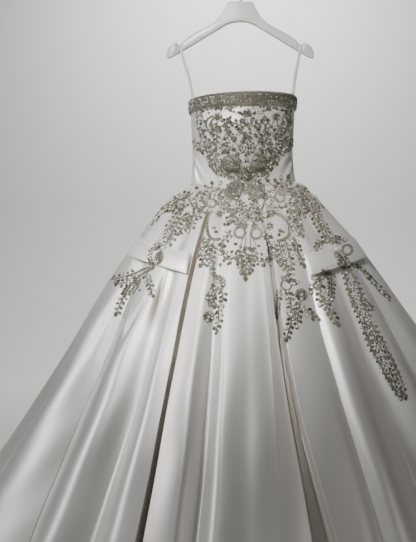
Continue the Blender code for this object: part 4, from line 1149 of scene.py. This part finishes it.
# Bodice beads.
BODICE = (
    # garland under the band
    (bed, [
        [(194, 107), (200, 111), (207, 110), (214, 108), (222, 109), (230, 108), (237, 106)],
        [(292, 107), (287, 109), (281, 110), (273, 108), (266, 107), (259, 107)],
    ], dict(wide=3.6, density=0.95, leaf=3.9)),
    (bed, [[(228, 109), (234, 112), (240, 113), (246, 116)]], dict(wide=3.4)),
    (bed, [[(267, 109), (260, 113), (254, 113), (249, 116)]], dict(wide=3.8)),
    (rose, [(247, 113, 4.6, 9)]),
    (single, [(216, 109.5, 0, 2.8, SMOKE), (221, 110, 0, 2.6, SMOKE), (209, 113, 0, 2.4, SMOKE),
              (270, 110, 0, 2.6, SMOKE), (276, 108, 0, 3.0, SMOKE), (241, 107, 0, 2.0, SMOKE),
              (253, 108, 0, 2.0, SMOKE), (201, 110, 0, 2.6, SMOKE)], dict(kind="stone", lift=0.1)),
    # the two slanting edges that meet at the waist bow
    (bed, [[(199, 113, 8), (199, 123, 5), (201, 133, 5), (206, 143, 6), (210, 152, 9), (213, 162, 11),
            (218, 171, 9), (225, 176, 4)]], dict(wide=6)),
    (bed, [[(288, 112, 8), (289, 122, 6), (290, 132, 6), (286, 143, 11), (280, 151, 13),
            (274, 160, 12), (268, 169, 8), (262, 175, 4)]], dict(wide=7)),
    (vine, [
        [(195, 139), (196, 144), (199, 149)],
        [(201, 141), (200, 146), (202, 151)],
    ], dict(leaf=4.0, out=2.0)),
    (bed, [[(295, 140), (290, 146), (284, 151)]], dict(wide=6)),
    # scrolls
    (cord, [
        [(213, 116), (208, 119), (206, 124), (208, 130), (212, 135)],
        [(214, 118), (211, 123), (212, 129), (213, 135)],
        [(283, 115), (287, 120), (287, 126), (285, 132), (281, 136)],
        [(282, 118), (283, 124), (281, 130), (280, 135)],
        [(231, 116), (227, 121), (226, 128), (229, 135), (234, 139)],
        [(264, 116), (268, 121), (268, 128), (265, 134), (259, 139)],
    ], dict(rows=2)),
    (rose, [(218, 117, 4.6, 7), (276, 117, 4.6, 7)]),
    (vine, [
        [(217, 122), (217, 130), (217, 138), (216, 147)],
        [(277, 122), (278, 130), (278, 138), (279, 146)],
        [(231, 118), (227, 125), (228, 132), (233, 138)],
        [(263, 118), (268, 125), (266, 132), (261, 138)],
        [(211, 122), (213, 128), (213, 133)],
        [(284, 122), (282, 128), (281, 133)],
    ], dict(leaf=4.3, every=2.3, out=2.2)),
    (single, [(220.5, 130.5, 60, 4.2, DARK), (274, 130, 110, 4.2, DARK), (234, 141.5, 55, 4.2, DARK),
              (259, 141.5, 115, 4.2, DARK), (228, 153, 0, 4.2, DARK), (262, 152.5, 0, 4.2, DARK)],
     dict(wide=1.1, lift=0.05)),
    # centre: a small spread flower over an arched bud column
    (vine, [
        [(247, 126), (242, 126), (237, 124), (233, 123)],
        [(247, 126), (252, 126), (257, 124), (262, 123)],
    ]),
    (single, [(240, 121, 90, 3.0, SMOKE), (245, 120, 90, 3.0, SMOKE), (251, 121, 90, 3.0, SMOKE),
              (248, 123, 90, 3.0, SMOKE)], dict(kind="drop")),
    (single, [(243.5, 133, -45, 4.6, DARK), (250.5, 133, 45, 4.6, DARK)], dict(wide=0.55)),
    (bed, [[(247, 134, 6), (247, 141, 13), (247, 148, 18), (247, 154, 17)]], dict(wide=12, leaf=3.9)),
    (bed, [
        [(226, 139, 6), (227, 146, 9), (224, 152, 8)],
        [(268, 139, 6), (267, 146, 9), (270, 152, 8)],
    ], dict(wide=7, leaf=3.9)),
    (cord, [
        [(233, 140), (238, 146), (241, 152)],
        [(261, 140), (256, 146), (253, 152)],
    ]),
    # the closely beaded field round the bow
    (bed, [
        [(219, 160), (222, 168), (228, 174), (236, 176)],
        [(272, 158), (270, 166), (264, 172), (257, 174)],
    ], dict(wide=7, leaf=3.9)),
    (bed, [[(247, 155), (247, 162)]], dict(wide=6, leaf=3.9)),
    (bed, [[(238, 173), (247, 177), (256, 173)]], dict(wide=8, leaf=3.9)),
    # loose sprigs that fill the field between the scrolls
    (sprig, [(222, 118, 60), (225, 136, 110), (238, 131, 40), (222, 143, 80), (215, 126, 60),
             (233, 147, 70), (241, 128, 150), (256, 128, 30), (262, 147, 110), (272, 124, 120),
             (271, 141, 100), (258, 134, 140), (281, 143, 120), (236, 152, 60), (258, 153, 120),
             (203, 119, 80), (207, 138, 70), (290, 119, 100), (288, 136, 110), (247, 122, 90),
             (222, 150, 60), (272, 150, 120), (244, 118, 120), (251, 117, 60), (229, 130, 90),
             (265, 128, 80), (236, 136, 120), (260, 141, 60), (217, 152, 80), (277, 154, 110),
             (221, 127, 130), (273, 134, 50), (239, 158, 90), (255, 158, 90), (204, 128, 90),
             (226, 124, 100), (268, 132, 80), (211, 141, 60), (283, 127, 90)]),
)
sew("bodice_beads", BODICE, mix=DEEP_MIX)

# Stitched fold lines along the edges of the hip-bow loops, dark enough to stand for painted shade at
# their folded hems.
STITCHES_AND_EDGE_SHADE = (
    (stitches, [
        [(163, 252), (176, 255), (189, 259)],
        [(160, 264), (173, 268), (185, 271)],
        [(137, 242), (145, 246), (152, 251)],
        [(130, 254), (139, 258), (147, 262)],
        [(309, 256), (322, 253), (335, 251)],
        [(313, 271), (326, 267), (336, 265)],
    ]),
)
sew("hip_bow_stitches_and_edge_shade", STITCHES_AND_EDGE_SHADE, material=THREAD_AND_EDGE_SHADE, slot="ivory_satin")

# Waist bow beads: outlines of seed beads, and bugle beads that fan out of the knot.
BowPart = namedtuple("BowPart", "column row long wide turn root_column root_row rays tone")
RAY_SPREAD = 62
BOW_PARTS = [BowPart(*row) for row in (
    (233, 162.5, 9.6, 6.6, 22, 243, 166, 6, GOLD),
    (259.5, 160.5, 9.6, 6.6, -24, 250, 165, 6, GOLD),
    (234, 188.5, 9.2, 6.8, 128, 241, 179, 7, SMOKE),
    (256.8, 188, 9.2, 7, 56, 250, 179, 7, SMOKE),
)]


def bow_part(work, part):
    """A loop or tail of the waist bow: outlines, rays from its root, and a filling."""
    middle = (part.column, part.row)
    cord(work, oval(*middle, part.long, part.wide, part.turn), size=1.2)
    cord(work, oval(*middle, part.long - 1.6, part.wide - 1.4, part.turn), size=1.0, tone=SILVER)
    over, down = part.column - part.root_column, part.row - part.root_row
    away, reach = math.degrees(math.atan2(down, over)), math.hypot(down, over)
    for k in range(part.rays):
        off = (k - (part.rays - 1) / 2) / (part.rays - 1)
        turn = math.radians(away + off * RAY_SPREAD)
        far = reach + part.long * (0.80 - 1.1 * off * off)
        for at in np.arange(4.0, far, 1.9):
            work.lay("bugle", *moved(part.root_column, part.root_row, turn, at), math.degrees(turn),
                     BUGLE_LONG, part.tone + rng.uniform(-0.12, 0.24), wide=1.3)
    if part.tone == GOLD:
        bed(work, [moved(*middle, 0, -4, 1), moved(*middle, 0, 4, -1)], 5, leaf=3.2)
    else:
        bed(work, [(part.column, part.row - 6, 6), (part.column, part.row + 6, 10)], 9, density=1.25,
            leaf=2.9)


WAIST_BOW = (
    (bow_part, BOW_PARTS),
    (single, [(244.2 + j * 2.6, 167.5 + k * 2.5, 0, 2.2, None) for k in range(4) for j in range(3)],
     dict(kind="stone")),
    (ring, [(247, 171, 5.4)], dict(rows=1)),
    (bed, [[(247, 177, 8), (247, 186, 10), (247, 195, 7)]], dict(wide=8, density=1.1, leaf=3.2)),
    (bed, [
        [(225, 175, 5), (232, 178, 6), (240, 178, 5)],
        [(268, 174, 5), (262, 178, 6), (254, 178, 5)],
    ], dict(wide=5, leaf=3.2)),
)
sew("waist_bow_beads", WAIST_BOW, mix=DEEP_MIX)

# Skirt beads, left of the centre.
SKIRT_LEFT = (
    (ring, [(211.5, 202.5, 5.8)], dict(rows=3)),
    (fan, [(212, 200, -92, 150, 8, 11.0, 5.8), (212, 199, -90, 110, 5, 16.0, 5.6)]),
    (cord, [[(198, 193), (203, 201), (206, 207)]], dict(rows=3)),
    (cord, [
        [(186, 212), (191, 217), (191, 223), (188, 228), (185, 229)],
        [(193, 193), (189, 197), (191, 203), (196, 205)],
    ], dict(rows=2)),
    (vine, [
        [(216, 198), (221, 204), (228, 209), (235, 214), (230, 222)],
        [(190, 196), (184, 195), (180, 197), (178, 200)],
        [(192, 201), (185, 203), (181, 206), (178, 211)],
        [(186, 208), (178, 209), (169, 208), (162, 210), (157, 215), (154, 221)],
        [(178, 199), (171, 202), (165, 206)],
        [(184, 210), (179, 215), (173, 222), (169, 227), (168, 231), (167, 238)],
        [(185, 215), (179, 221), (176, 226), (173, 231), (172, 239), (167, 244), (162, 246)],
        [(189, 213), (188, 220), (184, 227), (180, 232)],
        [(197, 204), (197, 211), (195, 218), (190, 229)],
        [(200, 206), (202, 212), (197, 217)],
        [(203, 193), (199, 198), (195, 203)],
    ]),
    (framed, [(159.4, 243.3, 200, GOLD), (155.3, 244.8, 190, GOLD), (178.3, 210.5, 100, DARK),
              (179, 200.4, 110, SMOKE), (170.6, 203.5, 110, DARK), (173.2, 213.2, 80, SMOKE),
              (180.1, 232, 120, DARK), (187.4, 220.8, 150, DARK), (195.4, 208.1, 120, SMOKE),
              (195.6, 213.2, 100, SILVER), (201.7, 210.1, 10, DARK), (195.1, 219.8, 120, CLEAR),
              (154, 221.3, 100, GOLD)]),
    # the knot of the left bow, and what hangs under it
    (ring, [(155.5, 256, 8.0)], dict(rows=3, gaps=(-150, 160), tall=1.15)),
    (single, [(156.5, 249.5, 0, 4.2, GOLD)], dict(kind="stone", lift=0.1)),
    (bed, [[(152, 250, 5), (150, 258, 6), (153, 266, 5)]], dict(wide=5, leaf=3.2)),
    (rose, [(158, 258, 4.0, 7)]),
    (cord, [
        [(155, 267), (145, 269), (136, 273), (128, 276)],
        [(154, 269), (146, 272), (138, 278)],
    ], dict(rows=2)),
    (vine, [
        [(136, 273), (124, 277), (111, 280)],
        [(141, 275), (136, 281), (129, 288), (124, 297), (120, 305), (117, 312)],
        [(137, 278), (131, 285), (126, 293)],
        [(135, 276), (127, 282), (119, 284)],
        [(148, 271), (147, 278), (150, 286), (152, 293)],
        [(134, 283), (139, 286), (136, 290)],
    ], dict(leaf=4.6)),
)
sew("skirt_beads_left", SKIRT_LEFT)

# The long left front pendants.
SKIRT_CENTRE = (
    (cord, [[(212, 211), (208, 217), (207, 226), (209, 236), (214, 240), (220, 239)]], dict(rows=3)),
    (rose, [(219.5, 214, 4.0, 7)]),
    (framed, [(214, 228, 20, GOLD), (216, 232, 20, DARK), (226.8, 218, 140, DARK),
              (224.6, 224.8, 70, DARK), (230.6, 223.2, 160, SILVER)], dict(leaf=4.6)),
    (bed, [[(211, 262, 6), (212, 270, 5), (214, 276, 4)]], dict(wide=5)),
    (bed, [[(216, 277, 6), (218, 284, 13), (214, 292, 10), (211, 301, 12), (215, 307, 5)]],
     dict(wide=9)),
    (ring, [(219, 283, 6.6)], dict(tall=1.1)),
    (rose, [(211, 298, 6.2, 9), (208.5, 317, 6.0, 8), (244.6, 225.7, 3.8, 7), (254.8, 226.4, 3.8, 7),
            (239, 225.5, 3.0, 7)]),
    (ring, [(239.9, 232.7, 6.2), (256.1, 233.6, 6.2)], dict(rows=3)),
    (cord, [
        [(246, 238), (245, 245), (244, 252)],
        [(250, 238), (250.5, 245), (251, 252)],
        [(243.5, 238), (241, 243), (240, 250)],
        [(252, 238), (255, 243), (256, 250)],
    ]),
    (vine, [
        [(204, 237), (206, 242), (205, 248), (200, 254)],
        [(210, 241), (209, 248), (206, 255), (202, 263)],
        [(213, 243), (212, 252), (211, 262)],
        [(222, 290), (223, 300), (219, 309), (219, 319), (217, 329)],
        [(231, 231), (227, 238), (222, 243)],
        [(219, 245), (224, 251), (224, 257), (230, 260), (238, 256), (243, 251)],
        [(265, 232), (268, 238), (271, 245)],
        [(273, 246), (270, 254), (269, 262), (261, 262), (254, 259), (251, 252)],
        [(241, 256), (241, 263), (241, 270)],
        [(251, 256), (251, 263), (250, 270)],
        [(246, 254), (246, 263), (245.5, 272)],
    ]),
    (framed, [(235.7, 244.2, 5, DARK), (231.9, 251.9, 140, DARK), (237.3, 251.2, 110, SILVER),
              (240.5, 246.8, 70, SMOKE), (258.7, 246.1, 20, DARK), (261.5, 254.4, 50, DARK),
              (253.6, 248.7, 90, SILVER), (256.8, 253.1, 60, SMOKE), (220.4, 265, 110, SILVER),
              (228.7, 264, 140, SILVER), (202.9, 263, 60, DARK), (207, 266, 110, SILVER),
              (212.8, 263, 50, SMOKE), (237.6, 264.6, 130, DARK), (253.9, 265.3, 60, DARK),
              (262.5, 265.9, 40, SMOKE), (281.6, 264.6, 35, DARK)]),
    (single, [(245.5, 279, 90, 6.4, DARK)]),
)
sew("skirt_beads_centre", SKIRT_CENTRE)

# The apron of leaves and curling stems right under the waist.
APRON = (
    (cord, [
        [(218, 203), (221, 208), (228, 210), (233, 217), (241, 219), (248, 220), (257, 217),
         (264, 212), (269, 205), (274, 201)],
        [(228, 202), (231, 211), (234, 216)],
        [(265, 200), (262, 209), (258, 215)],
    ], dict(rows=2)),
    (vine, [
        [(219, 200), (226, 200), (234, 199)],
        [(232, 205), (238, 212), (244, 216)],
        [(236, 201), (243, 206), (247, 213)],
        [(258, 200), (252, 206), (248, 213)],
        [(260, 206), (256, 211), (250, 216)],
        [(229, 220), (236, 222), (243, 221)],
        [(252, 222), (259, 221), (266, 218)],
        [(262, 196), (268, 197), (274, 199)],
        [(266, 205), (272, 208), (279, 208)],
    ], dict(leaf=4.0, every=2.2, out=2.2)),
    (framed, [(219, 195, 100, DARK), (229.3, 204.7, 120, SILVER), (240.8, 200.8, 100, SMOKE),
              (249.1, 199.6, 30, DARK), (241.5, 210, 20, DARK), (248.8, 210.4, 160, DARK),
              (252.9, 204.7, 90, SMOKE), (256.1, 213.6, 60, SILVER), (265, 199, 60, SILVER),
              (224, 213, 60, SILVER), (275, 213, 120, SMOKE)], dict(leaf=3.8)),
    (rose, [(270.8, 213, 5.0, 8), (269.5, 226.4, 4.2, 7)]),
)
sew("skirt_beads_apron", APRON)

# Skirt beads, right of the centre.
SKIRT_RIGHT = (
    (ring, [(279.5, 197.5, 5.8)], dict(rows=3)),
    (fan, [(281, 196, -84, 150, 9, 11.0, 5.8), (281, 194, -80, 110, 6, 16.5, 5.6)]),
    (cord, [[(277, 214), (284, 218), (289, 225), (289, 234), (285, 239), (277, 241)]], dict(rows=3)),
    (framed, [(280, 231, 110, GOLD), (279, 235, 130, DARK), (283, 232, 20, SMOKE)], dict(leaf=4.4)),
    (cord, [
        [(286, 193), (292, 190), (296, 193), (291, 196)],
        [(289, 201), (293, 197), (298, 199)],
    ], dict(rows=2)),
    (vine, [
        [(301, 187), (306, 194), (311, 200), (315, 207), (318, 217), (324, 226), (327, 235),
         (330, 240)],
        [(298, 191), (303, 199), (308, 206), (312, 214), (317, 223), (322, 232), (325, 239)],
        [(292, 209), (296, 217), (298, 226), (301, 233)],
        [(289, 209), (292, 217), (293, 224), (296, 232)],
        [(304, 187), (310, 191), (316, 198), (321, 205)],
        [(296, 203), (301, 208), (303, 214)],
        [(325, 238), (320, 242), (317, 248)],
        [(326, 238), (333, 239), (341, 240)],
        [(285, 203), (290, 206), (296, 206), (301, 203)],
        [(294, 201), (299, 197), (304, 200)],
        [(285, 241), (287, 248), (289, 256), (291, 264), (290, 276)],
        [(279, 243), (281, 252), (283, 262), (287, 271)],
        [(293, 238), (296, 244), (299, 254), (303, 263)],
    ]),
    (bed, [[(267, 236, 4), (271, 248, 8), (276, 257, 8), (281, 266, 4)]], dict(wide=6)),
    (strokes, [(289 + k * 2.2, 240 + k * 4.4, 62, 0, 1, 9) for k in range(6)]),
    (cord, [[(288, 239), (295, 248), (301, 258), (304, 269)]]),
    (ring, [(286, 285, 5.6)]),
    (bed, [[(283, 278, 5), (292, 282, 7), (299, 283, 4)]], dict(wide=6)),
    (rose, [(301, 295, 6.6, 10)]),
    (bed, [[(279, 291, 5), (279, 305, 5), (278, 317, 4)]], dict(wide=5)),
    (vine, [
        [(288, 290), (290, 300), (291, 312)],
        [(292, 312), (291, 322), (287, 337)],
        [(300, 302), (298, 314), (297, 324)],
        [(304, 306), (309, 314), (316, 318)],
    ]),
)
sew("skirt_beads_right", SKIRT_RIGHT)

# The sprays at the right bow.
RIGHT_BOW = (
    (ring, [(347, 250, 5.8)], dict(rows=3)),
    (ring, [(338, 254, 4.0)], dict(stone=4.4)),
    (rose, [(344, 260, 5.0, 8)]),
    (bed, [[(338, 262, 6), (346, 265, 11), (352, 270, 8)]], dict(wide=7)),
    (strokes, [(328, 269, 118, 10, 3, 12)]),
    (vine, [
        [(326, 272), (317, 279), (312, 290)],
        [(330, 272), (331, 284), (331, 297)],
        [(321, 282), (320, 293), (320, 302)],
        [(322, 296), (328, 309), (336, 322)],
    ]),
    (bed, [[(346, 268, 7), (352, 284, 12), (357, 300, 14), (363, 313, 10), (368, 326, 10),
            (376, 343, 17), (386, 362, 15), (394, 379, 15), (403, 398, 7)]], dict(wide=12, leaf=3.1)),
    (bed, [[(362, 300, 6), (369, 306, 6), (374, 312, 4)]], dict(wide=5)),
    (vine, [
        [(343, 270), (348, 288), (354, 305), (361, 322), (369, 344), (380, 364), (390, 382),
         (399, 397)],
        [(352, 274), (360, 291), (367, 311), (374, 327), (384, 345), (394, 366), (402, 384),
         (405, 396)],
    ], dict(leaf=3.8, every=2.7, out=1.5)),
    (bed, [[(352, 264, 4), (362, 270, 5), (372, 281, 6), (382, 291, 6), (391, 301, 4)]],
     dict(wide=5)),
)
sew("skirt_beads_right_bow", RIGHT_BOW)

# Stage: a plain pale floor that turns up into a plain pale wall.
bm = bmesh.new()
bmesh.ops.create_grid(bm, x_segments=2, y_segments=24, size=1)
FLOOR_Z, STAGE_NEAR, TURN_Y, TURN_RADIUS, STAGE_HALF = -1.74, -7.0, 4.2, 1.6, 10.0
profile = [(STAGE_NEAR, FLOOR_Z), (TURN_Y, FLOOR_Z)]
profile += [(TURN_Y + TURN_RADIUS * math.sin(a), FLOOR_Z + TURN_RADIUS * (1 - math.cos(a)))
            for a in np.linspace(0.05, math.pi / 2, 18)]
profile += [(TURN_Y + TURN_RADIUS, z) for z in (1.0, 2.0, 3.5, 5.0, 7.0)]
bm.verts.ensure_lookup_table()
for k, vert in enumerate(bm.verts):
    y, z = profile[k // 3]
    vert.co = ((k % 3 - 1) * STAGE_HALF, y, z)
paper, _, _ = surface("pale_paper", (0.78, 0.78, 0.77), 0.9)
mesh = bpy.data.meshes.new("stage_floor")
bm.to_mesh(mesh)
bm.free()
mesh.materials.append(paper)
mesh.shade_smooth()
floor = bpy.data.objects.new("stage_floor", mesh)
bpy.context.scene.collection.objects.link(floor)

# Camera: level, a little below the waist, at the photo's distance.
SENSOR = 24.0
camera_data = bpy.data.cameras.new("view")
camera_data.sensor_fit = "VERTICAL"
camera_data.sensor_height = SENSOR
camera_data.lens = SENSOR * FOCUS_PX / FRAME_H
camera_data.shift_x = (FRAME_W / 2 - CHART_COLUMN) / FRAME_H
camera = bpy.data.objects.new("view", camera_data)
camera.location = (0, CAMERA_Y, CAMERA_Z)
camera.rotation_euler = (math.pi / 2, 0, 0)
bpy.context.scene.collection.objects.link(camera)
bpy.context.scene.camera = camera


def lamp(name, place, aim, size, power, colour=(1, 1, 1), spread=180):
    data = bpy.data.lights.new(name, "AREA")
    data.size, data.energy, data.color, data.spread = size, power, colour, math.radians(spread)
    light = bpy.data.objects.new(name, data)
    light.location = place
    light.rotation_euler = (Vector(aim) - Vector(place)).to_track_quat("-Z", "Y").to_euler()
    bpy.context.scene.collection.objects.link(light)


lamp("key", (-3.0, -1.35, 1.0), (0, 0, -0.9), 0.8, 49, (0.99, 0.995, 1.0))
lamp("upper", (-0.8, -2.0, 0.45), (-0.04, -0.2, -0.74), 0.4, 2.2, (1.0, 0.995, 0.98), spread=24)
lamp("front", (-0.5, -3.2, 1.6), (0, 0, -0.6), 0.8, 7, (1.0, 0.99, 0.97))
lamp("hanger", (-0.4, -2.2, 0.7), (0, 0, -0.13), 0.4, 0.9, (1.0, 0.995, 0.98), spread=24)
lamp("fill", (3.0, -2.2, -0.2), (0.2, 0, -0.9), 1.2, 8, (1.0, 0.93, 0.90))
lamp("backdrop", (0.0, 3.7, 2.6), (0, 6.0, -0.6), 2.4, 200)
world = bpy.data.worlds.new("studio")
bpy.context.scene.world = world
world.use_nodes = True
world.node_tree.nodes["Background"].inputs["Color"].default_value = (0.50, 0.51, 0.53, 1)
world.node_tree.nodes["Background"].inputs["Strength"].default_value = 0.12
